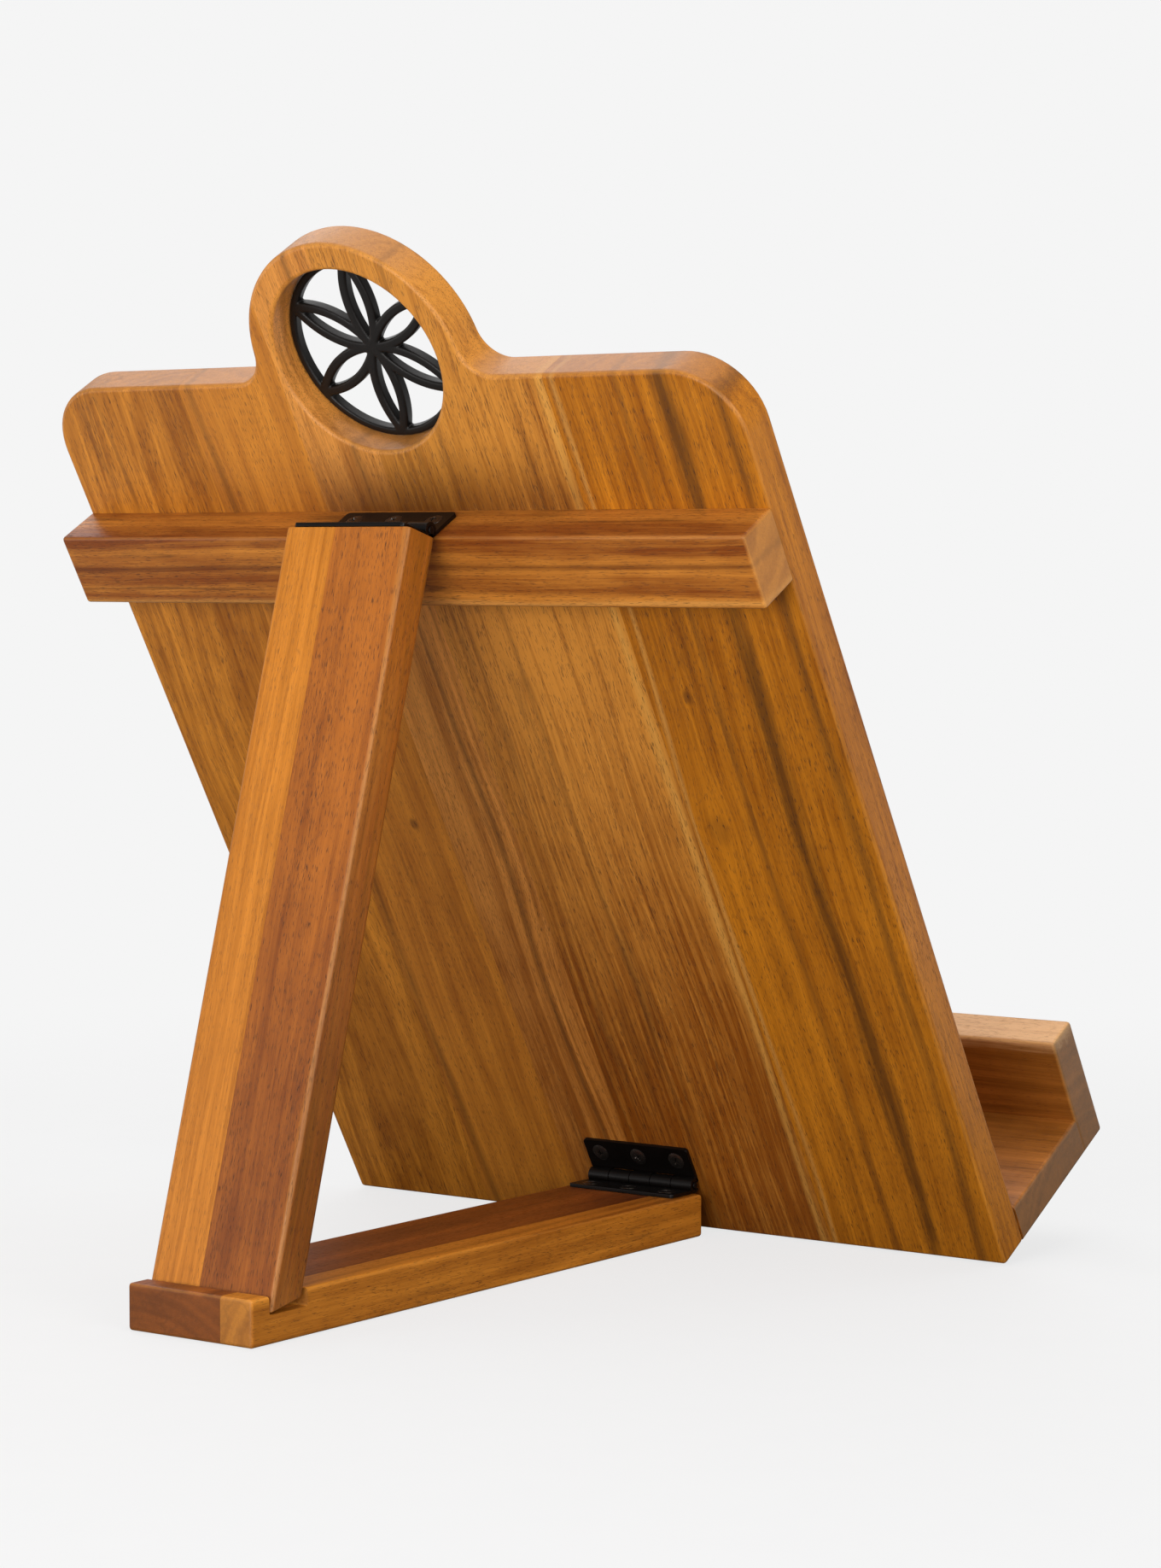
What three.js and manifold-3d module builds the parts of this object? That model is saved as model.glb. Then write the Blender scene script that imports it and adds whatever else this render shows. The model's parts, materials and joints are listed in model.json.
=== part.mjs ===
// Folding wooden book stand: a leaning board of edge-glued staves with a ledge and lip in
// front, a batten across its back, a prop leg hinged on the batten and a foot arm hinged at
// the board's foot, whose notch holds the end of the leg.
// Millimetres, +Z up, +X along the width, the reader in front at -Y.
// The origin is the centre of the bounding box's bottom.
import * as THREE from 'three';
import { mergeVertices } from 'three/addons/utils/BufferGeometryUtils.js';
import Module from 'manifold-3d';

const wasm = await Module();
wasm.setup();

// ---- driving dimensions ----
const gap = 0.3;                     // between pieces that touch
const fitGap = 0.15;                 // round a dowel, a pin or a screw
const endGap = 0.5;                  // past the end of a dowel or a screw

const lean = THREE.MathUtils.degToRad(30);   // board's lean back from upright
const boardWidth = 300;
const boardThickness = 15;
const shoulderHeight = 364.5;        // up the board's slope
const cornerRadius = 25;
const lobeCentre = 371.5;            // up the board's slope
const lobeRadius = 44.5;
const holeRadius = 34.5;
const lobeFillet = 12;
const staveSeams = [-150, -76, 4, 36, 84, 150];

const ledgeDepth = 67.5;             // board's front face to the lip's outer face
const shelfThickness = 15;
const lipThickness = 15;
const lipHeight = 50;

const battenBottom = 286;            // up the board's slope
const battenHeight = 27.5;
const battenThickness = 18.5;

const armWidth = 54;
const armThickness = 16;
const armRear = 273.3;               // behind the board's heel
const armSeam = -13.5;
const notchDepth = 6.2;
const notchFront = 245.2;            // behind the board's heel
const notchRear = 264.5;

const legWidth = 54;
const legThickness = 15;
const legSeam = 5;
const footBevel = 7.8;               // rise of the foot's end from back to front, along the leg
const footClearance = 0.5;           // from the foot's tip to the notch's rear wall
const footLift = 0.3;                // from the foot's tip to the notch's floor

const hinge = {
  length: 48, leafWidth: 15.5, leafThickness: 1.2, barrelRadius: 2.8, pinRadius: 1.3,
  knuckles: 5, cornerRadius: 1.5, screwPitch: 17.5, screwReach: 9.8,
};
const seat = hinge.barrelRadius + 0.25;      // wood face to hinge axis
const upperSetback = 0.4;            // batten's back face to the upper hinge axis
const legSetback = 0.6;              // upper hinge axis to the leg's front face
const armSetback = 0.4;              // arm's front end to the lower hinge axis

const pegSides = 16;
const screw = { headRadius: 3.4, shankRadius: 1.6, headDepth: 1.9, dome: 0.5, length: 12 };
const shelfDowel = { radius: 4, inBack: 9, inFront: 15 };
const lipDowel = { radius: 3, inBack: 15, inFront: 9 };
const dowelPlaces = [-112, -50, 50, 112];

const medallion = { radius: 34.2, ring: 2.8, bar: 3.4, thickness: 4, recess: 0.5, petals: 6 };

// ---- materials ----
const wood = (color) => new THREE.MeshStandardMaterial({ color, roughness: 0.45, metalness: 0 });
const staveColours = [0xa0641e, 0x8a5220, 0x93581f, 0x96602a, 0x8f5a28];
const finish = {
  batten: wood(0x9a5a2a),
  ledge: wood(0xa5622a),
  legPale: wood(0xc07c32),
  legBrown: wood(0x9c5622),
  armDark: wood(0x6e3416),
  armGold: wood(0xb0701f),
  dowel: wood(0xd0b080),
  steel: new THREE.MeshStandardMaterial({ color: 0x17120f, roughness: 0.4, metalness: 0.7 }),
  casting: new THREE.MeshStandardMaterial({ color: 0x1a1714, roughness: 0.5, metalness: 0.6 }),
};

// ---- solid helpers ----
function solid(geometry) {
  const plain = geometry.clone();
  plain.deleteAttribute('normal');
  plain.deleteAttribute('uv');
  const merged = mergeVertices(plain, 1e-4);
  const mesh = new wasm.Mesh({
    numProp: 3,
    vertProperties: new Float32Array(merged.attributes.position.array),
    triVerts: new Uint32Array(merged.index.array),
  });
  return new wasm.Manifold(mesh);
}

function toGeometry(manifold) {
  const mesh = manifold.getMesh();
  const geometry = new THREE.BufferGeometry();
  geometry.setAttribute('position', new THREE.BufferAttribute(mesh.vertProperties, 3));
  geometry.setIndex(new THREE.BufferAttribute(mesh.triVerts, 1));
  geometry.computeVertexNormals();
  return geometry;
}

// A box from its limits: [x0, x1], [y0, y1], [z0, z1].
function block(xs, ys, zs) {
  const [sx, sy, sz] = [xs, ys, zs].map(([low, high]) => high - low);
  const box = new THREE.BoxGeometry(sx, sy, sz);
  return box.translate(xs[0] + sx / 2, ys[0] + sy / 2, zs[0] + sz / 2);
}

// A cylinder along Z from z0 to z1.
function rod(radius, x, y, z0, z1, sides = 24) {
  const cylinder = new THREE.CylinderGeometry(radius, radius, z1 - z0, sides);
  return cylinder.rotateX(Math.PI / 2).translate(x, y, (z0 + z1) / 2);
}

function cutAll(body, tools) {
  return tools.reduce((left, tool) => left.subtract(solid(tool)), body);
}

function named(name, geometry, material) {
  const mesh = new THREE.Mesh(geometry, material);
  mesh.name = name;
  return mesh;
}

// ---- frames ----
// On the board, x is the width, y runs up its back face and z points to the reader.
// The two hinge axes are worked out in the upright plane, as [y, z] from the board's heel.
const upBoard = [Math.sin(lean), Math.cos(lean)];
const offBack = [Math.cos(lean), -Math.sin(lean)];
const onBoard = (v, w) => [0, 1].map((i) => v * upBoard[i] + w * offBack[i]);

const battenTop = battenBottom + battenHeight;
const upperPlace = { v: battenTop + seat, w: battenThickness + upperSetback };
const upperAxis = onBoard(upperPlace.v, upperPlace.w);
const lowerHeight = armThickness + seat;
const lowerPlace = { v: (lowerHeight + seat * Math.sin(lean)) / Math.cos(lean), w: seat };
const lowerAxis = onBoard(lowerPlace.v, lowerPlace.w);

const footTip = [notchRear - footClearance, armThickness - notchDepth + footLift];
const reach = Math.hypot(footTip[0] - upperAxis[0], footTip[1] - upperAxis[1]);
const legBack = legSetback + legThickness;
const legTilt = Math.atan2(footTip[0] - upperAxis[0], upperAxis[1] - footTip[1])
  - Math.asin(legBack / reach);
const legDrop = Math.sqrt(reach * reach - legBack * legBack);

const frontmost = onBoard(0, -(boardThickness + ledgeDepth))[0];
const centring = -(armRear + frontmost) / 2;

// ---- hinge screws ----
// A leaf runs to one side of its axis: along -Y (fixed leaves) or +Y (moving leaves).
const onLeft = -1;
const onRight = 1;
// The screw stands on the leaf's plate, its point down -Z from the wood face at z = -seat.
const screwXs = [-1, 0, 1].map((step) => step * hinge.screwPitch);
const headTop = -hinge.barrelRadius + hinge.leafThickness;

function screwGeometry() {
  const { headRadius, shankRadius, headDepth, dome, length } = screw;
  const profile = [
    [0, headTop - length], [0.4, headTop - length], [shankRadius, headTop - length + 3],
    [shankRadius, headTop - headDepth], [headRadius, headTop - 0.2], [headRadius, headTop],
    [headRadius * 0.7, headTop + dome * 0.7], [headRadius * 0.35, headTop + dome], [0, headTop + dome],
  ];
  const lathe = new THREE.LatheGeometry(profile.map(([r, y]) => new THREE.Vector2(r, y)), 12);
  return lathe.rotateX(Math.PI / 2);
}

// Clearance round the three screws of a leaf, used as cutting tools: a bore and a countersink.
function screwHoles(side) {
  const y = side * hinge.screwReach;
  const bore = screw.shankRadius + fitGap;
  const flare = screw.headRadius + 2 * fitGap;
  const depth = headTop - screw.length - endGap;
  return screwXs.flatMap((x) => {
    const cone = new THREE.CylinderGeometry(flare, bore, screw.headDepth + fitGap, 16);
    cone.rotateX(Math.PI / 2).translate(x, y, headTop - screw.headDepth / 2);
    return [rod(bore, x, y, depth, 0, 12), cone];
  });
}

// ---- butt hinge ----
// The axis is X through the origin; a leaf's plate runs along side * Y at z = -barrelRadius.
function knuckleSpan(index, extra) {
  const pitch = hinge.length / hinge.knuckles;
  const start = -hinge.length / 2 + index * pitch;
  return [start - extra, start + pitch + extra];
}

function alongX(radius, [x0, x1], sides) {
  const cylinder = new THREE.CylinderGeometry(radius, radius, x1 - x0, sides);
  return cylinder.rotateZ(Math.PI / 2).translate((x0 + x1) / 2, 0, 0);
}

function leafPlate(side) {
  const half = hinge.length / 2;
  const round = hinge.cornerRadius;
  const outline = new THREE.Shape();
  outline.moveTo(-half, 0);
  outline.lineTo(-half, -hinge.leafWidth + round);
  outline.absarc(-half + round, -hinge.leafWidth + round, round, Math.PI, 1.5 * Math.PI, false);
  outline.absarc(half - round, -hinge.leafWidth + round, round, 1.5 * Math.PI, 2 * Math.PI, false);
  outline.lineTo(half, 0);
  const plate = new THREE.ExtrudeGeometry(outline,
    { depth: hinge.leafThickness, bevelEnabled: false, curveSegments: 4 });
  plate.translate(0, 0, -hinge.barrelRadius);
  return side > 0 ? plate.rotateZ(Math.PI) : plate;
}

function leafGeometry(side, ownParity) {
  const clear = hinge.barrelRadius + 0.4;
  let leaf = solid(leafPlate(side));
  for (let index = 0; index < hinge.knuckles; index += 1) {
    if (index % 2 === ownParity) {
      leaf = leaf.add(solid(alongX(hinge.barrelRadius, knuckleSpan(index, -fitGap), 24)));
    } else {
      const span = knuckleSpan(index, fitGap);
      leaf = leaf.subtract(solid(block(span, [-clear, clear], [-5, 5])));
    }
  }
  leaf = leaf.subtract(solid(alongX(hinge.pinRadius + fitGap, [-40, 40], 16)));
  return toGeometry(cutAll(leaf, screwHoles(side)));
}

function pinGeometry() {
  const half = hinge.length / 2 + 0.3;
  const r = hinge.pinRadius;
  const profile = [
    [0, -half], [r * 0.7, -half], [r, -half + 0.4],
    [r, half - 0.4], [r * 0.7, half], [0, half],
  ];
  const lathe = new THREE.LatheGeometry(profile.map(([x, y]) => new THREE.Vector2(x, y)), 16);
  return lathe.rotateZ(Math.PI / 2);
}

// A leaf and its three screws in a group turned about the hinge axis.
function leafGroup(prefix, side, ownParity, axis, turn) {
  const group = new THREE.Group();
  group.position.set(0, axis[0], axis[1]);
  group.rotation.x = turn;
  group.add(named(`${prefix}_leaf`, leafGeometry(side, ownParity), finish.steel));
  screwXs.forEach((x, index) => {
    const piece = named(`${prefix}_screw_${index + 1}`, screwGeometry(), finish.steel);
    piece.position.set(x, side * hinge.screwReach, 0);
    group.add(piece);
  });
  return group;
}

function pinAt(name, axis) {
  const pin = named(name, pinGeometry(), finish.steel);
  pin.position.set(0, axis[0], axis[1]);
  return pin;
}

// ---- board ----
function boardOutline() {
  const half = boardWidth / 2;
  const filletY = shoulderHeight + lobeFillet;
  const filletX = Math.sqrt((lobeRadius + lobeFillet) ** 2 - (filletY - lobeCentre) ** 2);
  const meet = Math.atan2(filletY - lobeCentre, filletX);
  const cornerY = shoulderHeight - cornerRadius;
  const outline = new THREE.Shape();
  outline.moveTo(-half, 0);
  outline.lineTo(half, 0);
  outline.absarc(half - cornerRadius, cornerY, cornerRadius, 0, Math.PI / 2, false);
  outline.absarc(filletX, filletY, lobeFillet, -Math.PI / 2, -Math.PI + meet, true);
  outline.absarc(0, lobeCentre, lobeRadius, meet, Math.PI - meet, false);
  outline.absarc(-filletX, filletY, lobeFillet, -meet, -Math.PI / 2, true);
  outline.absarc(-half + cornerRadius, cornerY, cornerRadius, Math.PI / 2, Math.PI, false);
  return outline;
}

// Holes for the dowels that run from the board through to the lip.
function dowelHoles() {
  const tools = [];
  const joints = [[shelfDowel, boardThickness], [lipDowel, boardThickness + ledgeDepth - lipThickness]];
  for (const [dowel, plane] of joints) {
    for (const x of dowelPlaces) {
      tools.push(rod(dowel.radius + fitGap, x, shelfThickness / 2,
        plane - dowel.inBack - endGap, plane + dowel.inFront + endGap, pegSides));
    }
  }
  return tools;
}

// Screw holes of a leaf, carried from the hinge's frame to the board's: the board's frame
// has its y along the slope and its z towards the reader.
function leafHolesOnBoard(place, turnFromBoard) {
  return screwHoles(onLeft).map((tool) => tool.rotateX(turnFromBoard).translate(0, place.v, -place.w));
}

const battenLeafTurn = -Math.PI / 2;         // plate lies on the batten's top face
const boardLeafTurn = Math.PI;               // plate lies on the board's back face

function addBoard(frame) {
  const slab = new THREE.ExtrudeGeometry(boardOutline(),
    { depth: boardThickness, bevelEnabled: false, curveSegments: 16 });
  const hole = rod(holeRadius, 0, lobeCentre, -5, boardThickness + 5, 64);
  const board = cutAll(solid(slab), [hole, ...dowelHoles(), ...leafHolesOnBoard(lowerPlace, boardLeafTurn)]);
  for (let index = 0; index + 1 < staveSeams.length; index += 1) {
    const strip = block([staveSeams[index] + gap / 2, staveSeams[index + 1] - gap / 2], [-5, 500], [-5, 30]);
    const stave = board.intersect(solid(strip));
    frame.add(named(`board_stave_${index + 1}`, toGeometry(stave), wood(staveColours[index])));
  }
}

// ---- ledge, lip, dowels and batten ----
function addLedge(frame) {
  const half = boardWidth / 2;
  const lipBack = boardThickness + ledgeDepth - lipThickness;
  const shelf = block([-half, half], [0, shelfThickness], [boardThickness + gap, lipBack - gap]);
  const lip = block([-half, half], [0, lipHeight], [lipBack, lipBack + lipThickness]);
  frame.add(named('ledge_shelf', toGeometry(cutAll(solid(shelf), dowelHoles())), finish.ledge));
  frame.add(named('ledge_lip', toGeometry(cutAll(solid(lip), dowelHoles())), finish.ledge));
  const sets = [['shelf_dowel', shelfDowel, boardThickness], ['lip_dowel', lipDowel, lipBack]];
  for (const [prefix, dowel, plane] of sets) {
    dowelPlaces.forEach((x, index) => {
      const ends = [plane - dowel.inBack, plane + dowel.inFront];
      const peg = rod(dowel.radius, x, shelfThickness / 2, ...ends, pegSides);
      frame.add(named(`${prefix}_${index + 1}`, peg, finish.dowel));
    });
  }
}

function addBatten(frame) {
  const half = boardWidth / 2;
  const bar = block([-half, half], [battenBottom, battenTop], [-battenThickness, -gap]);
  const holes = leafHolesOnBoard(upperPlace, battenLeafTurn);
  frame.add(named('back_batten', toGeometry(cutAll(solid(bar), holes)), finish.batten));
}

// ---- medallion: a ring filled by a rosette of equal arcs ----
function annulus(outer, inner, x, y, sides) {
  const shape = new THREE.Shape();
  shape.absarc(x, y, outer, 0, 2 * Math.PI, false);
  const opening = new THREE.Path();
  opening.absarc(x, y, inner, 0, 2 * Math.PI, true);
  shape.holes.push(opening);
  return new THREE.ExtrudeGeometry(shape,
    { depth: medallion.thickness, bevelEnabled: false, curveSegments: sides });
}

function addMedallion(frame) {
  const { radius, ring, bar, thickness, recess, petals } = medallion;
  const arcRadius = radius - ring / 2;
  let arcs = null;
  for (let petal = 0; petal < petals; petal += 1) {
    const angle = (petal + 0.5) * 2 * Math.PI / petals;
    const [x, y] = [arcRadius * Math.cos(angle), arcRadius * Math.sin(angle)];
    const arc = solid(annulus(arcRadius + bar / 2, arcRadius - bar / 2, x, y, 18));
    arcs = arcs ? arcs.add(arc) : arc;
  }
  const inside = solid(rod(radius - ring / 2, 0, 0, -5, thickness + 5, 48));
  const rosette = arcs.intersect(inside).add(solid(annulus(radius, radius - ring, 0, 0, 24)));
  const mesh = named('medallion', toGeometry(rosette), finish.casting);
  mesh.position.set(0, lobeCentre, boardThickness - recess - thickness);
  frame.add(mesh);
}

// ---- leg ----
// The leg's frame has its origin on the upper hinge axis, y to the back and the leg down -z.
function addLeg(frame) {
  const profile = new THREE.Shape();
  profile.moveTo(legSetback, -seat);
  profile.lineTo(legSetback, -legDrop + footBevel);
  profile.lineTo(legBack, -legDrop);
  profile.lineTo(legBack, -seat);
  profile.closePath();
  const holes = screwHoles(onRight);
  const half = legWidth / 2;
  const parts = [['leg_stave_brown', -half, legSeam - gap / 2, finish.legBrown],
    ['leg_stave_pale', legSeam + gap / 2, half, finish.legPale]];
  for (const [name, x0, x1, material] of parts) {
    const stave = new THREE.ExtrudeGeometry(profile, { depth: x1 - x0, bevelEnabled: false });
    stave.rotateX(Math.PI / 2).rotateZ(Math.PI / 2).translate(x0, 0, 0);
    frame.add(named(name, toGeometry(cutAll(solid(stave), holes)), material));
  }
}

// ---- arm ----
// The arm's frame has its origin on the lower hinge axis and the arm runs back along +y.
function addArm(frame) {
  const half = armWidth / 2;
  const rear = armRear - lowerAxis[0];
  const notch = block([-half - 5, half + 5], [notchFront - lowerAxis[0], notchRear - lowerAxis[0]],
    [-seat - notchDepth, 5]);
  const holes = screwHoles(onRight);
  const parts = [['arm_stave_gold', -half, armSeam - gap / 2, finish.armGold],
    ['arm_stave_dark', armSeam + gap / 2, half, finish.armDark]];
  for (const [name, x0, x1, material] of parts) {
    const stave = block([x0, x1], [-armSetback, rear], [-seat - armThickness, -seat]);
    frame.add(named(name, toGeometry(cutAll(solid(stave), [notch, ...holes])), material));
  }
}

// ---- assembly ----
const stand = new THREE.Group();
stand.position.y = centring;

const boardFrame = new THREE.Group();
boardFrame.rotation.x = Math.PI / 2 - lean;
addBoard(boardFrame);
addLedge(boardFrame);
addBatten(boardFrame);
addMedallion(boardFrame);
stand.add(boardFrame);

const legFrame = new THREE.Group();
legFrame.position.set(0, upperAxis[0], upperAxis[1]);
legFrame.rotation.x = legTilt;
addLeg(legFrame);
stand.add(legFrame);

const armFrame = new THREE.Group();
armFrame.position.set(0, lowerAxis[0], lowerAxis[1]);
addArm(armFrame);
stand.add(armFrame);

stand.add(leafGroup('batten_hinge', onLeft, 0, upperAxis, -lean));
stand.add(leafGroup('leg_hinge', onRight, 1, upperAxis, legTilt));
stand.add(leafGroup('board_hinge', onLeft, 0, lowerAxis, -lean - Math.PI / 2));
stand.add(leafGroup('arm_hinge', onRight, 1, lowerAxis, 0));
stand.add(pinAt('upper_hinge_pin', upperAxis));
stand.add(pinAt('lower_hinge_pin', lowerAxis));

export default stand;
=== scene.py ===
"""Looks of a folding wooden book stand.

A leaning board of five edge-glued staves carries a ledge with a lip in front and a batten
behind. A prop leg hangs on the batten's hinge and stands in the notch of a foot arm, which is
hinged to the board's foot. A cast rosette closes the hole in the board's lobe.

Sizes are in metres. On the board, x is the width, z runs up the slope and y points out of the
back face. The leg and the arm have frames of their own, on their hinge axes.
"""

import json
import logging
import math
from collections.abc import Callable
from dataclasses import dataclass
from enum import Enum

import bmesh
import bpy
from mathutils import Matrix, Vector


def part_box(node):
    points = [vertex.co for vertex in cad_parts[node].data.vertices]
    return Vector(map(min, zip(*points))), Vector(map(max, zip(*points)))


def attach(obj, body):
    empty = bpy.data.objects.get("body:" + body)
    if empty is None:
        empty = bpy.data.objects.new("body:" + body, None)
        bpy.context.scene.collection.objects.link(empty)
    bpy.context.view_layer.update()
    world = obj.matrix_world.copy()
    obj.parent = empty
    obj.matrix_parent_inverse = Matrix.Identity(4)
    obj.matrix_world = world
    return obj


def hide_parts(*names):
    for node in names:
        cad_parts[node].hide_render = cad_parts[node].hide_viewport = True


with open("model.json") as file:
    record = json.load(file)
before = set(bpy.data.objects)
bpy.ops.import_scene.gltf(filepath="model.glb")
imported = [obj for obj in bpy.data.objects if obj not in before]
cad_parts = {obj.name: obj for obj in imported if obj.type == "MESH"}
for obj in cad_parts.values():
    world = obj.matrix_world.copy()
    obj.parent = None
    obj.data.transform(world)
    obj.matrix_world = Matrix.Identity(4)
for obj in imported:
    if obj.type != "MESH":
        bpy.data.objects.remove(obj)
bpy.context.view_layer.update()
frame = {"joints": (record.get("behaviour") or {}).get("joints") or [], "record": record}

LOG = logging.getLogger("book_stand")

Triple = tuple[float, float, float]
Socket = bpy.types.NodeSocket
Value = Socket | float
Test = Callable[[Vector, Vector], bool]

MM = 0.001
TINY = 1e-5
ALONG = 0.9                    # part of a direction above which it counts as along an axis
SEAM = 0.00002                 # half the width of a glue line
LEAN = math.radians(30)        # the board's lean back from upright
BOARD_THICKNESS = 0.015

BODY_OF = {
    node: body
    for body, nodes in frame["record"]["behaviour"]["bodies"].items()
    for node in nodes
}
AXIS_OF = {joint["name"]: Vector(joint["pos_m"]) for joint in frame["joints"]}


# ---- places ----
def board_place() -> Matrix:
    """Places the board's frame: its origin on the heel, tipped back by the lean."""
    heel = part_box("board_stave_3")[0].y + BOARD_THICKNESS * math.cos(LEAN)
    return Matrix.Translation((0, heel, 0)) @ Matrix.Rotation(-LEAN, 4, "X")


def leg_stance(back: float) -> tuple[float, float]:
    """Works out how the leg hangs from its axis to the foot's tip.

    Args:
        back: distance from the axis to the leg's back face.

    Returns:
        The leg's tilt from upright, and its length below the axis along the back face.
    """
    low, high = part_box("leg_stave_brown")
    axis = AXIS_OF["leg_swing"]
    drop = Vector((high.y - axis.y, axis.z - low.z))
    tilt = math.atan2(drop.x, drop.y) - math.asin(back / drop.length)
    return tilt, math.sqrt(drop.length_squared - back * back)


def on_axis(joint: str, turn: float) -> Matrix:
    """Gives the frame on a joint's axis, turned about X."""
    return Matrix.Translation(AXIS_OF[joint]) @ Matrix.Rotation(turn, 4, "X")


# ---- bench ----
def clear_bench() -> None:
    """Leaves edit mode and deselects everything."""
    if bpy.context.object and bpy.context.object.mode != "OBJECT":
        bpy.ops.object.mode_set(mode="OBJECT")
    bpy.ops.object.select_all(action="DESELECT")


class Workpiece:
    """A mesh on the bench, with the steps that shape it."""

    def __init__(self, name: str) -> None:
        """Takes over the primitive that was just added.

        Args:
            name: the piece's name.
        """
        self.body = bpy.context.active_object
        self.body.name = name
        bpy.ops.object.transform_apply(location=True, rotation=True, scale=True)

    @classmethod
    def block(cls, name: str, low: Triple, high: Triple) -> "Workpiece":
        """Adds a squared block between two corners.

        Args:
            name: the piece's name.
            low: the corner with the smallest x, y and z.
            high: the opposite corner.

        Returns:
            The block on the bench.
        """
        clear_bench()
        near, far = Vector(low), Vector(high)
        bpy.ops.mesh.primitive_cube_add(size=1, location=(near + far) / 2, scale=far - near)
        return cls(name)

    @classmethod
    def rod(
        cls, name: str, radii: tuple[float, float], start: Triple, end: Triple, sides: int
    ) -> "Workpiece":
        """Adds a round rod, or a cone where its two radii differ.

        Args:
            name: the piece's name.
            radii: radius at the start and at the end.
            start: centre of the start face.
            end: centre of the end face.
            sides: flats round it.

        Returns:
            The rod on the bench.
        """
        clear_bench()
        near, far = Vector(start), Vector(end)
        bpy.ops.mesh.primitive_cone_add(
            vertices=sides,
            radius1=radii[0],
            radius2=radii[1],
            depth=(far - near).length,
            location=(near + far) / 2,
            rotation=(far - near).to_track_quat("Z", "Y").to_euler(),
        )
        return cls(name)

    @classmethod
    def sheet(cls, name: str, centre: Triple, size: float, facing: Triple) -> "Workpiece":
        """Adds a flat square.

        Args:
            name: the piece's name.
            centre: its middle.
            size: its side.
            facing: the direction of its normal.

        Returns:
            The square on the bench.
        """
        clear_bench()
        turn = Vector(facing).to_track_quat("Z", "Y").to_euler()
        bpy.ops.mesh.primitive_plane_add(size=size, location=centre, rotation=turn)
        return cls(name)

    def take(self) -> None:
        """Makes this piece the only one selected."""
        clear_bench()
        self.body.select_set(True)
        bpy.context.view_layer.objects.active = self.body

    def copy(self, name: str) -> "Workpiece":
        """Copies the piece, with a mesh of its own.

        Args:
            name: the copy's name.

        Returns:
            The copy.
        """
        twin = object.__new__(Workpiece)
        twin.body = self.body.copy()
        twin.body.data = self.body.data.copy()
        twin.body.name = name
        bpy.context.scene.collection.objects.link(twin.body)
        return twin

    def scrap(self) -> None:
        """Removes the piece from the bench."""
        bpy.data.objects.remove(self.body)

    def place(self, matrix: Matrix) -> "Workpiece":
        """Moves the piece into a frame and keeps its place in the mesh.

        Args:
            matrix: the frame.

        Returns:
            The piece.
        """
        self.take()
        self.body.matrix_world = matrix
        bpy.ops.object.transform_apply(location=True, rotation=True, scale=True)
        return self

    def choose_all(self) -> None:
        """Opens the mesh for editing with all of it selected."""
        self.take()
        bpy.ops.object.mode_set(mode="EDIT")
        bpy.ops.mesh.select_all(action="SELECT")

    def choose_faces(self, test: Test) -> None:
        """Opens the mesh for editing with some faces selected.

        Args:
            test: says yes or no to a face's centre and normal.
        """
        self.choose_all()
        bpy.ops.mesh.select_mode(type="FACE")
        bpy.ops.mesh.select_all(action="DESELECT")
        mesh = bmesh.from_edit_mesh(self.body.data)
        for face in mesh.faces:
            if test(face.calc_center_median(), face.normal):
                face.select_set(True)
        mesh.select_flush_mode()

    def choose_edges(self, test: Test) -> None:
        """Opens the mesh for editing with some edges selected.

        Args:
            test: says yes or no to an edge's middle and its direction, all parts positive.
        """
        self.choose_all()
        bpy.ops.mesh.select_mode(type="EDGE")
        bpy.ops.mesh.select_all(action="DESELECT")
        mesh = bmesh.from_edit_mesh(self.body.data)
        for edge in mesh.edges:
            start, end = (vert.co for vert in edge.verts)
            run = (end - start).normalized()
            if test((start + end) / 2, Vector(abs(part) for part in run)):
                edge.select_set(True)
        mesh.select_flush_mode()

    def close(self) -> "Workpiece":
        """Leaves edit mode."""
        bpy.ops.object.mode_set(mode="OBJECT")
        return self

    def round_edges(self, test: Test, radius: float, steps: int) -> "Workpiece":
        """Rounds some edges.

        Args:
            test: says yes or no to an edge's middle and its direction, all parts positive.
            radius: the size of the round.
            steps: the facets across it.

        Returns:
            The piece.
        """
        self.choose_edges(test)
        bpy.ops.mesh.bevel(offset=radius, segments=steps, affect="EDGES")
        return self.close()

    def saw(self, point: Triple, outside: Triple) -> "Workpiece":
        """Saws off what lies outside a plane and closes the cut.

        Args:
            point: a point of the plane.
            outside: the plane's normal, on the side that is sawn off.

        Returns:
            The piece.
        """
        self.choose_all()
        bpy.ops.mesh.bisect(plane_co=point, plane_no=outside, use_fill=True, clear_outer=True)
        return self.close()

    def score(self, point: Triple, normal: Triple) -> "Workpiece":
        """Draws a line round the piece, without cutting it.

        Args:
            point: a point of the line's plane.
            normal: the plane's normal.

        Returns:
            The piece.
        """
        self.choose_all()
        bpy.ops.mesh.bisect(plane_co=point, plane_no=normal)
        return self.close()

    def finish_with(self, kind: str, **settings: object) -> "Workpiece":
        """Adds a modifier and applies it.

        Args:
            kind: the modifier's type.
            **settings: its settings.

        Returns:
            The piece.
        """
        self.take()
        modifier = self.body.modifiers.new(kind.title(), kind)
        for key, value in settings.items():
            setattr(modifier, key, value)
        bpy.ops.object.modifier_apply(modifier=modifier.name)
        return self

    def cut(self, tool: "Workpiece", operation: str = "DIFFERENCE") -> "Workpiece":
        """Cuts the piece with a tool, or glues the tool on, and scraps the tool.

        Args:
            tool: the piece that cuts.
            operation: the boolean's operation.

        Returns:
            The piece.
        """
        self.finish_with("BOOLEAN", object=tool.body, operation=operation, solver="EXACT")
        tool.scrap()
        return self

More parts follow.
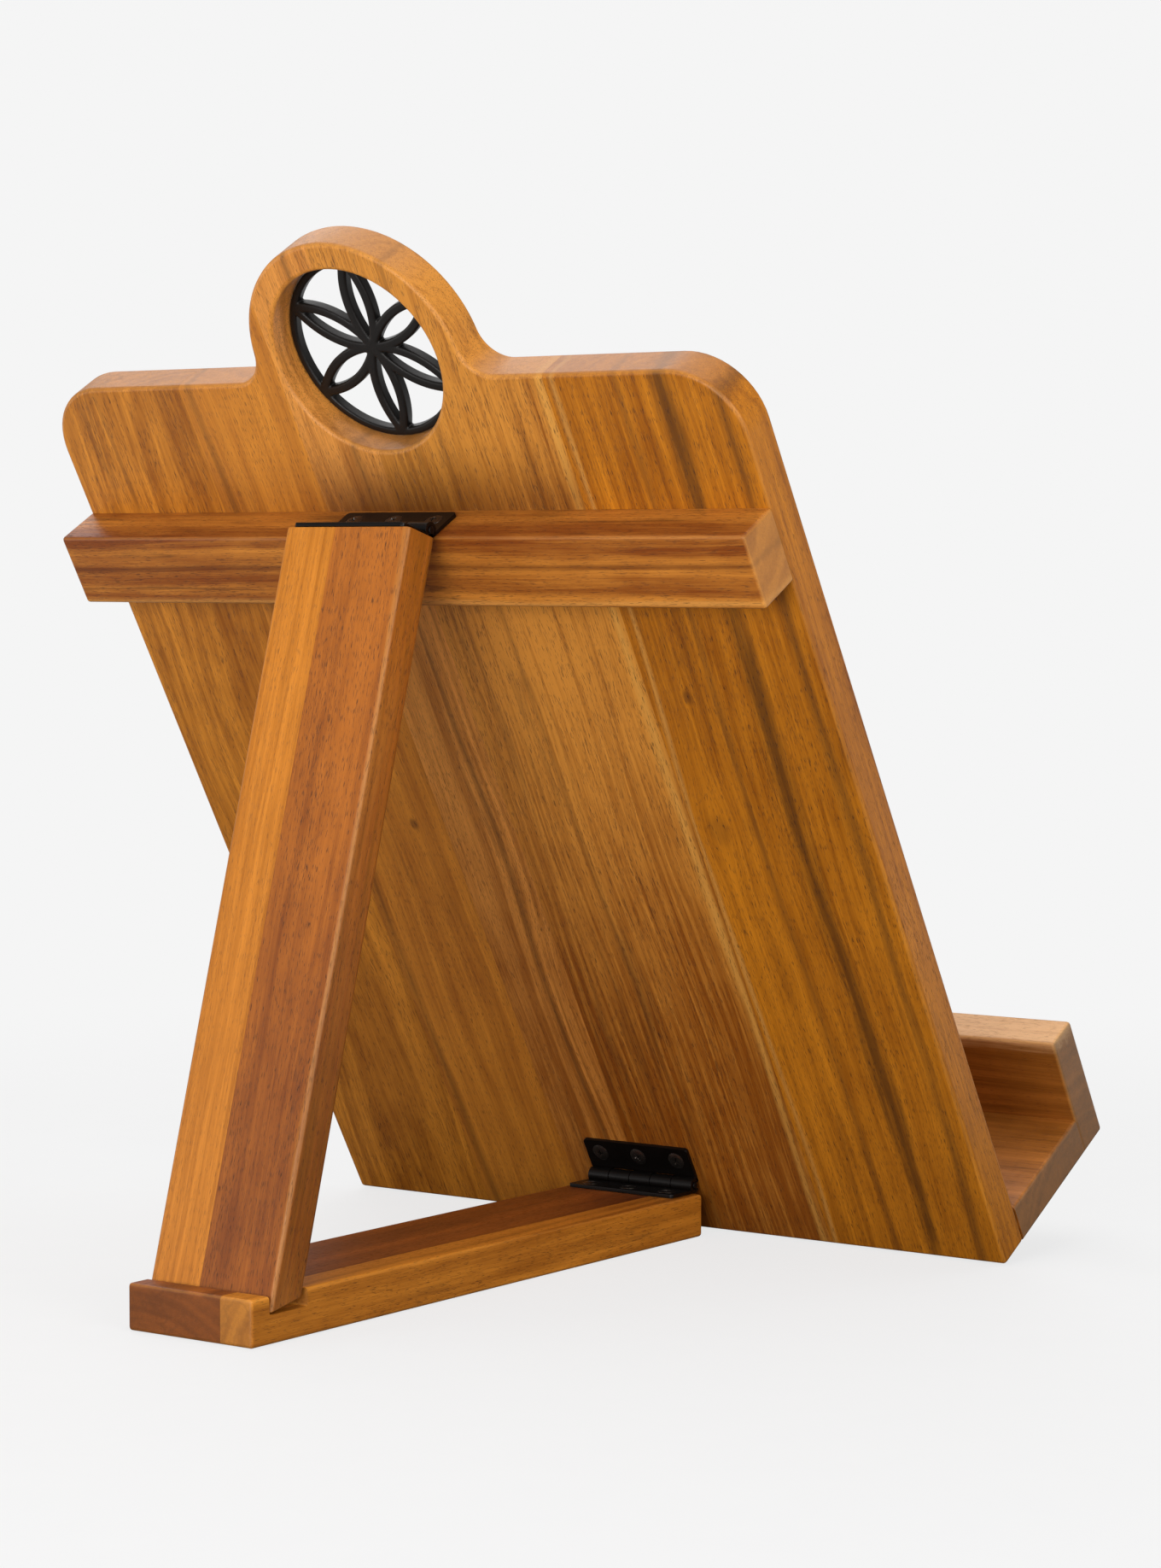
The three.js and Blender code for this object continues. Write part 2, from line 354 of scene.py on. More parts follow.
    def soften(self, radius: float, steps: int, angle: float = 40) -> "Workpiece":
        """Rounds every edge sharper than an angle in degrees."""
        return self.finish_with(
            "BEVEL", width=radius, segments=steps, limit_method="ANGLE",
            angle_limit=math.radians(angle), use_clamp_overlap=False,
        )

    def extrude(self, move: Triple, scale: Triple = (1, 1, 1)) -> None:
        """Extrudes the selected faces and scales them about the origin.

        Args:
            move: how far they go.
            scale: their scale after the move.
        """
        bpy.ops.mesh.extrude_region_move(TRANSFORM_OT_translate={"value": move})
        if scale != (1, 1, 1):
            bpy.ops.transform.resize(value=scale, center_override=(0, 0, 0))

    def tidy(self) -> "Workpiece":
        """Merges doubled points and turns every face outwards.

        Returns:
            The piece.
        """
        self.choose_all()
        bpy.ops.mesh.remove_doubles(threshold=1e-7)
        bpy.ops.mesh.normals_make_consistent(inside=False)
        return self.close()

    def dress(self, node: str, material: bpy.types.Material, angle: float = 38) -> None:
        """Gives the piece its finish and lets it stand for a node of the frame.

        Args:
            node: the frame's node.
            material: the finish.
            angle: the sharpest angle in degrees that is shaded smooth.
        """
        self.take()
        bpy.ops.object.shade_smooth_by_angle(angle=math.radians(angle))
        self.finish_with("WEIGHTED_NORMAL", keep_sharp=True, weight=80)
        self.body.data.materials.clear()
        self.body.data.materials.append(material)
        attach(self.body, BODY_OF[node])
        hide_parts(node)
        LOG.info("%s: %d faces", self.body.name, len(self.body.data.polygons))


# ---- finishes ----
class Recipe:
    """The node tree of one finish, with short ways to add to it."""

    def __init__(self, name: str) -> None:
        """Starts a finish with a shader on its output.

        Args:
            name: the finish's name.
        """
        self.material = bpy.data.materials.new(name)
        self.material.use_nodes = True
        self.tree = self.material.node_tree
        self.tree.nodes.clear()
        self.shader = self.add("ShaderNodeBsdfPrincipled")
        output = self.add("ShaderNodeOutputMaterial")
        self.tree.links.new(self.shader.outputs[0], output.inputs["Surface"])

    def add(self, kind: str, **settings: object) -> bpy.types.Node:
        """Adds a node.

        Args:
            kind: the node's type.
            **settings: its settings.

        Returns:
            The node.
        """
        node = self.tree.nodes.new(kind)
        for key, value in settings.items():
            setattr(node, key, value)
        return node

    def feed(self, socket: Socket, value: object) -> None:
        """Links a socket, or sets its value.

        Args:
            socket: the socket.
            value: a socket to link, or a number, vector or colour.
        """
        if isinstance(value, Socket):
            self.tree.links.new(value, socket)
        else:
            socket.default_value = value

    def math(self, operation: str, *values: Value, clamp: bool = False) -> Socket:
        """Works on numbers.

        Args:
            operation: what to do with them.
            *values: sockets or numbers.
            clamp: whether the result stays between 0 and 1.

        Returns:
            The result.
        """
        node = self.add("ShaderNodeMath", operation=operation, use_clamp=clamp)
        for socket, value in zip(node.inputs, values):
            self.feed(socket, value)
        return node.outputs[0]

    def vector(self, operation: str, *values: object) -> bpy.types.Node:
        """Works on vectors.

        Args:
            operation: what to do with them.
            *values: sockets or vectors.

        Returns:
            The node, whose outputs are a vector and a value.
        """
        node = self.add("ShaderNodeVectorMath", operation=operation)
        for socket, value in zip(node.inputs, values):
            self.feed(socket, value)
        return node

    def noise(
        self, place: Value, size: Triple, seed: float, detail: float, rough: float = 0.5
    ) -> Socket:
        """Adds noise whose grains have a size along each axis.

        Args:
            place: the coordinates.
            size: the size of a grain along x, y and z.
            seed: moves the pattern elsewhere.
            detail: finer layers.
            rough: strength of the finer layers.

        Returns:
            A value about 0.5.
        """
        shrink = tuple(1 / part for part in size)
        spot = self.vector("MULTIPLY_ADD", place, shrink, (seed, seed * 1.7, seed * 2.3))
        node = self.add("ShaderNodeTexNoise")
        self.feed(node.inputs["Vector"], spot.outputs[0])
        node.inputs["Scale"].default_value = 1.0
        node.inputs["Detail"].default_value = detail
        node.inputs["Roughness"].default_value = rough
        return node.outputs[0]

    def ramp(self, value: Value, low: float, high: float, top: float = 1.0) -> Socket:
        """Rises smoothly from 0 as a value goes from low to high.

        Args:
            value: the value.
            low: where the rise starts.
            high: where it ends.
            top: what it rises to.

        Returns:
            The risen value.
        """
        node = self.add("ShaderNodeMapRange", interpolation_type="SMOOTHSTEP")
        for socket, number in zip(node.inputs, (value, low, high, 0.0, top)):
            self.feed(socket, number)
        return node.outputs[0]

    def blend(self, share: Value, under: object, over: object) -> Socket:
        """Lays one colour over another.

        Args:
            share: how much of the upper colour shows.
            under: the lower colour.
            over: the upper colour.

        Returns:
            The blend.
        """
        node = self.add("ShaderNodeMix", data_type="RGBA")
        self.feed(node.inputs[0], share)
        self.feed(node.inputs[6], under)
        self.feed(node.inputs[7], over)
        return node.outputs[2]

    def split(self, place: Value) -> tuple[Socket, ...]:
        """Splits coordinates.

        Args:
            place: the coordinates.

        Returns:
            Their three parts.
        """
        node = self.add("ShaderNodeSeparateXYZ")
        self.feed(node.inputs[0], place)
        return tuple(node.outputs)

    def join(self, *parts: Value) -> Socket:
        """Joins parts into coordinates.

        Args:
            *parts: the three parts.

        Returns:
            The coordinates.
        """
        node = self.add("ShaderNodeCombineXYZ")
        for socket, part in zip(node.inputs, parts):
            self.feed(socket, part)
        return node.outputs[0]

    def bump(self, height: Value, depth: float, strength: float) -> None:
        """Gives the surface a relief.

        Args:
            height: the relief, as a multiple of the depth.
            depth: that depth.
            strength: how much of the relief shows.
        """
        node = self.add("ShaderNodeBump")
        node.inputs["Strength"].default_value = strength
        node.inputs["Distance"].default_value = depth
        self.feed(node.inputs["Height"], height)
        self.feed(self.shader.inputs["Normal"], node.outputs[0])


def tint(code: str) -> tuple[float, float, float, float]:
    """Turns a six-digit colour code into linear colour."""
    parts = (int(code[i : i + 2], 16) / 255 for i in (0, 2, 4))
    return (*(((c + 0.055) / 1.055) ** 2.4 if c > 0.04 else c / 12.92 for c in parts), 1.0)


class Grain(Enum):
    """Which way a piece's grain runs."""

    UP_BOARD = "up the board's slope"
    ALONG_LEDGE = "along the stand's width, square to the slope"
    DOWN_LEG = "down the leg"
    ALONG_ARM = "along the arm"


def grain_turn(grain: Grain) -> Matrix:
    """Gives the turn that lays a piece's grain along z and its thickness along y.

    Args:
        grain: which way the grain runs.

    Returns:
        The turn.
    """
    if grain is Grain.UP_BOARD:
        return Matrix.Rotation(LEAN, 4, "X")
    if grain is Grain.ALONG_LEDGE:
        return Matrix.Rotation(-math.pi / 2, 4, "Y") @ Matrix.Rotation(LEAN, 4, "X")
    if grain is Grain.DOWN_LEG:
        return Matrix.Rotation(-leg_stance(Leg.back)[0], 4, "X")
    return Matrix.Rotation(math.pi / 2, 4, "X")


def grain_origin(grain: Grain) -> Vector:
    """Gives the point of the stand that a grain's coordinates count from.

    Args:
        grain: which way the grain runs.

    Returns:
        The point.
    """
    if grain is Grain.DOWN_LEG:
        return AXIS_OF["leg_swing"]
    if grain is Grain.ALONG_ARM:
        return AXIS_OF["arm_fold"]
    return board_place().translation


class Mark(Enum):
    """The marks of a wood's figure: millimetres across, through and along the grain."""

    WANDER = (45, 45, 150)
    WAVE = (9, 9, 70)
    CLOUD = (24, 24, 170)
    RIBBON = (7, 7, 16)
    LINE = (1.7, 1.7, 110)
    FIBRE = (0.5, 0.5, 26)
    VEIN = (16, 16, 260)
    VEIN_PATCH = (40, 40, 60)
    PORE = (0.25, 0.25, 3.2)
    PORE_PATCH = (10, 10, 80)
    STREAK_SIDE = (2.2, 2.2, 55)
    STREAK_PATCH = (14, 14, 55)


@dataclass(frozen=True)
class Streak:
    """A stripe of another colour that follows the grain. Millimetres across the piece."""

    across: float
    width: float
    colour: str
    strength: float = 0.7
    patchy: float = 0.5
    low: float = 0.0                   # a band of painted shade on the back face, from low to high along it
    high: float = 0.0


@dataclass(frozen=True)
class Knot:
    """A small round of dark, turned grain. Millimetres across and along the piece."""

    across: float
    along: float
    size: float
    strength: float = 0.8


@dataclass(frozen=True)
class Timber:
    """Oiled acacia: growth rings round a heart, fibres, pores, streaks and knots.

    Lengths are in millimetres, in coordinates across, through and along the grain.
    """

    name: str
    grain: Grain
    light: str
    dark: str
    seed: float
    heart: tuple[float, float] = (60.0, 90.0)
    heart_slope: float = 0.02
    wave: float = 5.0                  # how far a ring swings to the side
    ring: float = 4.0
    rings: float = 0.6
    clouds: float = 0.6
    lines: float = 0.4
    ribbons: float = 0.25
    fibres: float = 0.45
    pores: float = 0.55
    drift: float = 7.0
    tone_and_shade_rise: float = 0.0                # how much the tone rises along the grain, and where: darker towards the foot, partly a real drift of tone, partly painted shade
    tone_and_shade_span: tuple[float, float] = (40.0, 270.0)
    end: str = "a87038"                # what the end grain tends to
    vein: str = "4a2710"
    pore: str = "30170a"
    lightening: str = "d89a4e"             # what the arrises tend to: partly wear, partly a painted highlight
    roughness: float = 0.34
    specular: float = 0.32
    relief: float = 0.06               # depth of the fibres and pores
    veins: float = 0.35
    streaks: tuple[Streak, ...] = ()
    knots: tuple[Knot, ...] = ()

    def make(self) -> bpy.types.Material:
        """Mixes the finish.

        Returns:
            The material.
        """
        mix = Recipe(self.name)
        turned = self.lay(mix)
        across, through, along = mix.split(turned)
        wander = self.mark(mix, Mark.WANDER, turned, 0, 1.0)
        swerve = mix.math("MULTIPLY_ADD", wander, self.drift * 2, -self.drift)
        across = mix.math("ADD", across, swerve)
        for knot in self.knots:
            across = self.part_round(mix, knot, across, along)
        place = mix.join(across, through, along)

        tone, fibre, veins = self.figure(mix, place, across, through, along)
        pore = self.pore_marks(mix, place)
        colour = mix.blend(tone, tint(self.dark), tint(self.light))
        colour = mix.blend(veins, colour, tint(self.vein))
        for streak in self.streaks:
            share = self.streak_share(mix, streak, place)
            colour = mix.blend(share, colour, tint(streak.colour))
        for knot in self.knots:
            share = self.knot_share(mix, knot, across, along)
            colour = mix.blend(share, colour, tint(self.vein))
        colour = mix.blend(mix.math("MULTIPLY", pore, self.pores), colour, tint(self.pore))
        colour = self.weather(mix, colour)
        mix.feed(mix.shader.inputs["Base Color"], colour)

        shine = mix.math("MULTIPLY_ADD", fibre, 0.16, self.roughness)
        shine = mix.math("MULTIPLY_ADD", pore, 0.15, shine)
        mix.feed(mix.shader.inputs["Roughness"], shine)
        mix.shader.inputs["Specular IOR Level"].default_value = self.specular
        height = mix.math("MULTIPLY_ADD", pore, -1.0, fibre)
        mix.bump(height, self.relief * MM, 0.55)
        return mix.material

    def mark(
        self, mix: Recipe, mark: Mark, place: Value, shift: float, detail: float = 2.0,
        rough: float = 0.5,
    ) -> Socket:
        """Scatters one kind of mark, differently in each timber."""
        return mix.noise(place, mark.value, self.seed + shift, detail, rough)

    def lay(self, mix: Recipe) -> Socket:
        """Lays the coordinates along the grain.

        Args:
            mix: the recipe.

        Returns:
            Grain coordinates in millimetres.
        """
        turn = grain_turn(self.grain)
        spot = turn @ grain_origin(self.grain)
        mapping = mix.add("ShaderNodeMapping", vector_type="POINT")
        mapping.inputs["Location"].default_value = -spot / MM
        mapping.inputs["Rotation"].default_value = turn.to_euler()
        mapping.inputs["Scale"].default_value = (1 / MM, 1 / MM, 1 / MM)
        source = mix.add("ShaderNodeTexCoord")
        mix.feed(mapping.inputs["Vector"], source.outputs["Object"])
        return mapping.outputs[0]

    def figure(
        self, mix: Recipe, place: Value, across: Value, through: Value, along: Value
    ) -> tuple[Socket, Socket, Socket]:
        """Builds the figure from rings, clouds, ribbons and fibres.

        Args:
            mix: the recipe.
            place: grain coordinates.
            across: their part across the grain.
            through: their part through the thickness.
            along: their part along the grain.

        Returns:
            The tone from dark to light, the fibres, and the share of dark veins.
        """
        slope = mix.math("MULTIPLY_ADD", along, self.heart_slope, -self.heart[0])
        wave = mix.math("MULTIPLY", self.mark(mix, Mark.WAVE, place, 3), self.wave)
        off_side = mix.math("ADD", mix.math("ADD", across, slope), wave)
        off_face = mix.math("SUBTRACT", through, self.heart[1])
        radius = mix.vector("LENGTH", mix.join(off_side, off_face, 0.0)).outputs["Value"]
        rings = mix.add("ShaderNodeTexNoise", noise_dimensions="1D")
        turns = mix.math("MULTIPLY_ADD", radius, 1 / self.ring, self.seed * 5)
        mix.feed(rings.inputs["W"], turns)
        rings.inputs["Scale"].default_value = 1.0
        rings.inputs["Detail"].default_value = 3.0
        fibre = self.mark(mix, Mark.FIBRE, place, 13, 3.0, 0.6)
        # Darker towards the foot: partly a real drift of tone, partly painted shade.
        rise = mix.ramp(along, *self.tone_and_shade_span)
        tone: Value = mix.math("MULTIPLY_ADD", rise, self.tone_and_shade_rise, 0.5 - self.tone_and_shade_rise / 2)
        layers = (
            (rings.outputs[0], self.rings),
            (self.mark(mix, Mark.CLOUD, place, 7, 3.0), self.clouds),
            (self.mark(mix, Mark.RIBBON, place, 11), self.ribbons),
            (self.mark(mix, Mark.LINE, place, 12, 2.0, 0.6), self.lines),
            (fibre, self.fibres),
        )
        for layer, strength in layers:
            swing = mix.math("MULTIPLY_ADD", layer, strength * 2, -strength)
            tone = mix.math("ADD", tone, swing)
        tone = mix.math("ADD", tone, 0.0, clamp=True)
        sparse = self.mark(mix, Mark.VEIN, place, 17, 3.0, 0.62)
        near = mix.math("ABSOLUTE", mix.math("SUBTRACT", sparse, 0.42))
        vein = mix.math("SUBTRACT", 1.0, mix.ramp(near, 0.0, 0.03))
        fade = mix.ramp(self.mark(mix, Mark.VEIN_PATCH, place, 19), 0.42, 0.62, self.veins)
        return tone, fibre, mix.math("MULTIPLY", vein, fade)

    def pore_marks(self, mix: Recipe, place: Value) -> Socket:
        """Scatters short dark pores along the grain, thicker in some places.

        Args:
            mix: the recipe.
            place: grain coordinates.

        Returns:
            The share of pores.
        """
        dash = self.mark(mix, Mark.PORE, place, 23, 1.0)
        thick = self.mark(mix, Mark.PORE_PATCH, place, 29)
        floor = mix.math("MULTIPLY_ADD", thick, -0.16, 0.68)
        lift = mix.math("SUBTRACT", dash, floor)
        return mix.ramp(lift, 0.0, 0.08)

    def streak_share(self, mix: Recipe, streak: Streak, place: Value) -> Socket:
        """Works out a streak: full on its middle line, ragged at its sides.

        Args:
            mix: the recipe.
            streak: the streak.
            place: grain coordinates.

        Returns:
            The streak's share.
        """
        across, through, along = mix.split(place)
        ragged = self.mark(mix, Mark.STREAK_SIDE, place, streak.across, 4.0, 0.68)
        away = mix.math("ABSOLUTE", mix.math("SUBTRACT", across, streak.across))
        away = mix.math("MULTIPLY_ADD", ragged, streak.width * 1.2, away)
        body = mix.math("SUBTRACT", 1.0, mix.ramp(away, streak.width * 0.55, streak.width * 1.35))
        patch = self.mark(mix, Mark.STREAK_PATCH, place, 31 + streak.across)
        level = streak.patchy / 2
        worn = mix.ramp(patch, level - 0.12, level + 0.1, streak.strength)
        share = mix.math("MULTIPLY", body, worn)
        # With low and high set, the streak is a band of painted shade: it rises and falls along the grain
        # and keeps to the back face.
        if streak.high > streak.low:
            rise = mix.ramp(along, streak.low - 18, streak.low)
            fall = mix.math("SUBTRACT", 1.0, mix.ramp(along, streak.high - 18, streak.high + 16))
            share = mix.math("MULTIPLY", share, mix.math("MULTIPLY", rise, fall))
            share = mix.math("MULTIPLY", share, mix.ramp(through, -6, -1))
        return share

    def knot_share(self, mix: Recipe, knot: Knot, across: Value, along: Value) -> Socket:
        """Works out a knot: a small oval, longer along the grain.

        Args:
            mix: the recipe.
            knot: the knot.
            across: the part of the coordinates across the grain.
            along: their part along it.

        Returns:
            The knot's share.
        """
        side = mix.math("MULTIPLY", mix.math("SUBTRACT", across, knot.across), 1 / knot.size)
        up = mix.math("MULTIPLY", mix.math("SUBTRACT", along, knot.along), 0.4 / knot.size)
        gap = mix.vector("LENGTH", mix.join(side, up, 0.0)).outputs["Value"]
        return mix.math("SUBTRACT", knot.strength, mix.ramp(gap, 0.3, 1.2, knot.strength))

    def part_round(self, mix: Recipe, knot: Knot, across: Value, along: Value) -> Socket:
        """Bends the grain round a knot.

        Args:
            mix: the recipe.
            knot: the knot.
            across: the part of the coordinates across the grain.
            along: their part along it.

        Returns:
            The part across the grain, pulled towards the knot.
        """
        side = mix.math("SUBTRACT", across, knot.across)
        up = mix.math("SUBTRACT", along, knot.along)
        reach = knot.size * 4
        spot = mix.join(mix.math("MULTIPLY", side, 1 / reach), mix.math("MULTIPLY", up, 0.4 / reach), 0.0)
        gap = mix.vector("LENGTH", spot).outputs["Value"]
        pull = mix.math("SUBTRACT", 0.65, mix.ramp(gap, 0.0, 1.0, 0.65))
        return mix.math("SUBTRACT", across, mix.math("MULTIPLY", side, pull))

    def weather(self, mix: Recipe, colour: Value) -> Socket:
        """Tints the end grain and lightens the rounded arrises a little: partly wear, partly a painted
        highlight.

        Args:
            mix: the recipe.
            colour: the colour of the figure.

        Returns:
            The colour after both.
        """
        facing = mix.add("ShaderNodeMapping", vector_type="NORMAL")
        facing.inputs["Rotation"].default_value = grain_turn(self.grain).to_euler()
        source = mix.add("ShaderNodeTexCoord")
        mix.feed(facing.inputs["Vector"], source.outputs["Normal"])
        _, flat, end = mix.split(facing.outputs[0])
        end_grain = mix.ramp(mix.math("ABSOLUTE", end), 0.55, 0.92, 0.5)
        colour = mix.blend(end_grain, colour, tint(self.end))
        face = mix.math("MULTIPLY", flat, flat)
        corner = mix.math("MULTIPLY", face, mix.math("SUBTRACT", 1.0, face))
        # Lighter arrises: partly wear, partly a painted highlight.
        lightening = mix.ramp(corner, 0.05, 0.22, 0.16)
        return mix.blend(lightening, colour, tint(self.lightening))


@dataclass(frozen=True)
class BlackMetal:
    """Blackened metal: a dark coat with a fine skin, dusty patches and worn spots."""

    name: str
    colour: str
    worn: str
    roughness: float
    metallic: float
    speckle: float
    skin: float

    def make(self) -> bpy.types.Material:
        """Mixes the finish.

        Returns:
            The material.
        """
        mix = Recipe(self.name)
        source = mix.add("ShaderNodeTexCoord")
        place = mix.vector("MULTIPLY", source.outputs["Object"], (1 / MM,) * 3).outputs[0]
        patch = mix.noise(place, (9, 9, 9), 2.0, 3.0)
        speck = mix.noise(place, (self.speckle,) * 3, 5.0, 3.0, 0.65)
        lightening = mix.math("MULTIPLY", mix.ramp(speck, 0.6, 0.75), mix.ramp(patch, 0.45, 0.65, 0.5))
        colour = mix.blend(lightening, tint(self.colour), tint(self.worn))
        mix.feed(mix.shader.inputs["Base Color"], colour)
        mix.shader.inputs["Metallic"].default_value = self.metallic
        shine = mix.math("MULTIPLY_ADD", patch, 0.2, self.roughness - 0.1)
        mix.feed(mix.shader.inputs["Roughness"], shine)
        mix.bump(speck, self.skin, 0.5)
        return mix.material


# ---- timbers and metals of this stand ----
# Painted shade on the board's back face, in a band from behind the batten to just above it.
SHADE_ABOVE_BATTEN = Streak(0, 300, "522404", 0.8, 0.1, low=300, high=330)
STAVE_TIMBERS = (
    Timber(
        "amber stave", Grain.UP_BOARD, "cc7e18", "8c4c06", 1.0, heart=(-190, 60),
        ring=5.0, rings=0.45, clouds=0.45, lines=0.6, fibres=0.55, pores=0.65, drift=5, veins=0.25,
        streaks=(
            Streak(-121, 8.0, "4c2a0c", 0.8, 0.8),
            Streak(-141, 5.0, "5a3412", 0.6, 0.7),
            Streak(-104, 3.5, "6a3c12", 0.5, 0.5),
            Streak(-78, 2.5, "d09a50", 0.5, 0.2),
        ),
        knots=(Knot(-92, 240, 1.4, 0.6), Knot(-88, 185, 3.0, 0.3)),
    ),
    Timber(
        "striped brown stave", Grain.UP_BOARD, "cf8833", "88480c", 2.0, heart=(-150, 150),
        ring=1.9, rings=0.45, clouds=0.35, lines=0.7, fibres=0.6, pores=0.6, drift=4, veins=0.3,
        tone_and_shade_rise=0.8,
        streaks=(
            Streak(-73, 3.5, "dca04a", 0.6, 0.15),
            Streak(-26, 2.6, "5c3412", 0.4, 0.5),
            SHADE_ABOVE_BATTEN,
        ),
    ),
    Timber(
        "narrow brown stave", Grain.UP_BOARD, "e09440", "985618", 3.0, heart=(60, 45),
        ring=3.0, rings=0.5, clouds=0.4, lines=0.6, fibres=0.55, pores=0.6, drift=6, veins=0.35,
        tone_and_shade_rise=0.5,
        streaks=(
            Streak(14, 3.0, "43240c", 0.5, 0.5),
            SHADE_ABOVE_BATTEN,
        ),
    ),
    Timber(
        "plain brown stave", Grain.UP_BOARD, "d88a2c", "9a5616", 4.0, heart=(120, 110),
        ring=4.0, rings=0.4, clouds=0.4, lines=0.5, drift=5, veins=0.2,
        tone_and_shade_rise=0.1,
        streaks=(
            Streak(80, 4.0, "54300f", 0.5, 0.6),
            # The last streak is painted shade on the back face, in a band from behind the batten to just
            # above it.
            Streak(0, 300, "5a2a04", 0.5, 0.1, low=300, high=326),
        ),
        knots=(Knot(50, 181, 1.2, 0.6),),
    ),
    Timber(
        "swirled stave", Grain.UP_BOARD, "d88a2a", "92520e", 5.0, heart=(120, 26),
        heart_slope=0.08, ring=3.2, rings=0.5, clouds=0.3, lines=0.5, ribbons=0.35, drift=11,
        veins=0.35,
    ),
)
BATTEN_TIMBER = Timber(
    "batten wood", Grain.ALONG_LEDGE, "d08430", "803e0c", 6.0, heart=(-330, 30),
    ring=7.0, rings=0.6, clouds=0.55, lines=0.4, drift=3, veins=0.5, vein="381806", end="c08440",
    streaks=(Streak(-301, 3.0, "5a2606", 0.6, 0.5), Streak(-287.5, 2.6, "e0a050", 0.5, 0.2)),
)
LEDGE_TIMBER = Timber(
    "ledge wood", Grain.ALONG_LEDGE, "b46e2a", "7a4610", 7.0, heart=(40, -60),
    ring=4.0, rings=0.6, clouds=0.55, lines=0.5, pores=0.3, drift=4, veins=0.3, end="7d6850",
    # The pale streak paints a highlight along the lip's top and the upper edge of its faces.
    streaks=(Streak(-50, 8, "e8b47c", 0.8, 0.1),),
)
PALE_LEG_TIMBER = Timber(
    "pale leg wood", Grain.DOWN_LEG, "d18126", "ac6412", 8.0, heart=(90, 60),
    ring=2.2, rings=0.6, clouds=0.45, lines=0.75, fibres=0.5, pores=0.4, ribbons=0.3, drift=2,
    veins=0.08,
)
BROWN_LEG_TIMBER = Timber(
    "brown leg wood", Grain.DOWN_LEG, "b3661e", "7c3e0e", 9.0, heart=(-60, 80),
    ring=4.0, rings=0.45, clouds=0.6, lines=0.3, pores=0.7, ribbons=0.35, drift=3, tone_and_shade_rise=0.6,
    tone_and_shade_span=(-250, -20), veins=0.12,
    # The pale streak is a thin line along the back face's right arris; the dark one is painted shade over
    # the right side face.
    streaks=(Streak(-26, 1.2, "c4843c", 0.35, 0.2), Streak(-29, 5, "7c4a08", 0.75, 0.1)),
)
DARK_ARM_TIMBER = Timber(
    "dark arm wood", Grain.ALONG_ARM, "a65a1e", "6a340e", 10.0, heart=(30, 70),
    ring=3.6, rings=0.7, clouds=0.6, lines=0.4, drift=3, veins=0.4, end="7c4824",
)
GOLD_ARM_TIMBER = Timber(
    "gold arm wood", Grain.ALONG_ARM, "dc8c2c", "a05c14", 11.0, heart=(-70, 40),
    ring=3.6, rings=0.7, clouds=0.6, lines=0.4, drift=3, veins=0.35,
)
DOWEL_TIMBER = Timber(
    "dowel wood", Grain.UP_BOARD, "dcc08c", "bb9762", 12.0, pores=0.2, veins=0.0,
)
HINGE_METAL = BlackMetal("black hinge coat", "120d0a", "3a332d", 0.36, 0.55, 0.7, 0.03 * MM)
SCREW_METAL = BlackMetal("black screw coat", "57504a", "b8aea4", 0.26, 0.9, 0.5, 0.02 * MM)
CAST_METAL = BlackMetal("black casting", "151210", "2e2823", 0.45, 0.4, 1.1, 0.07 * MM)


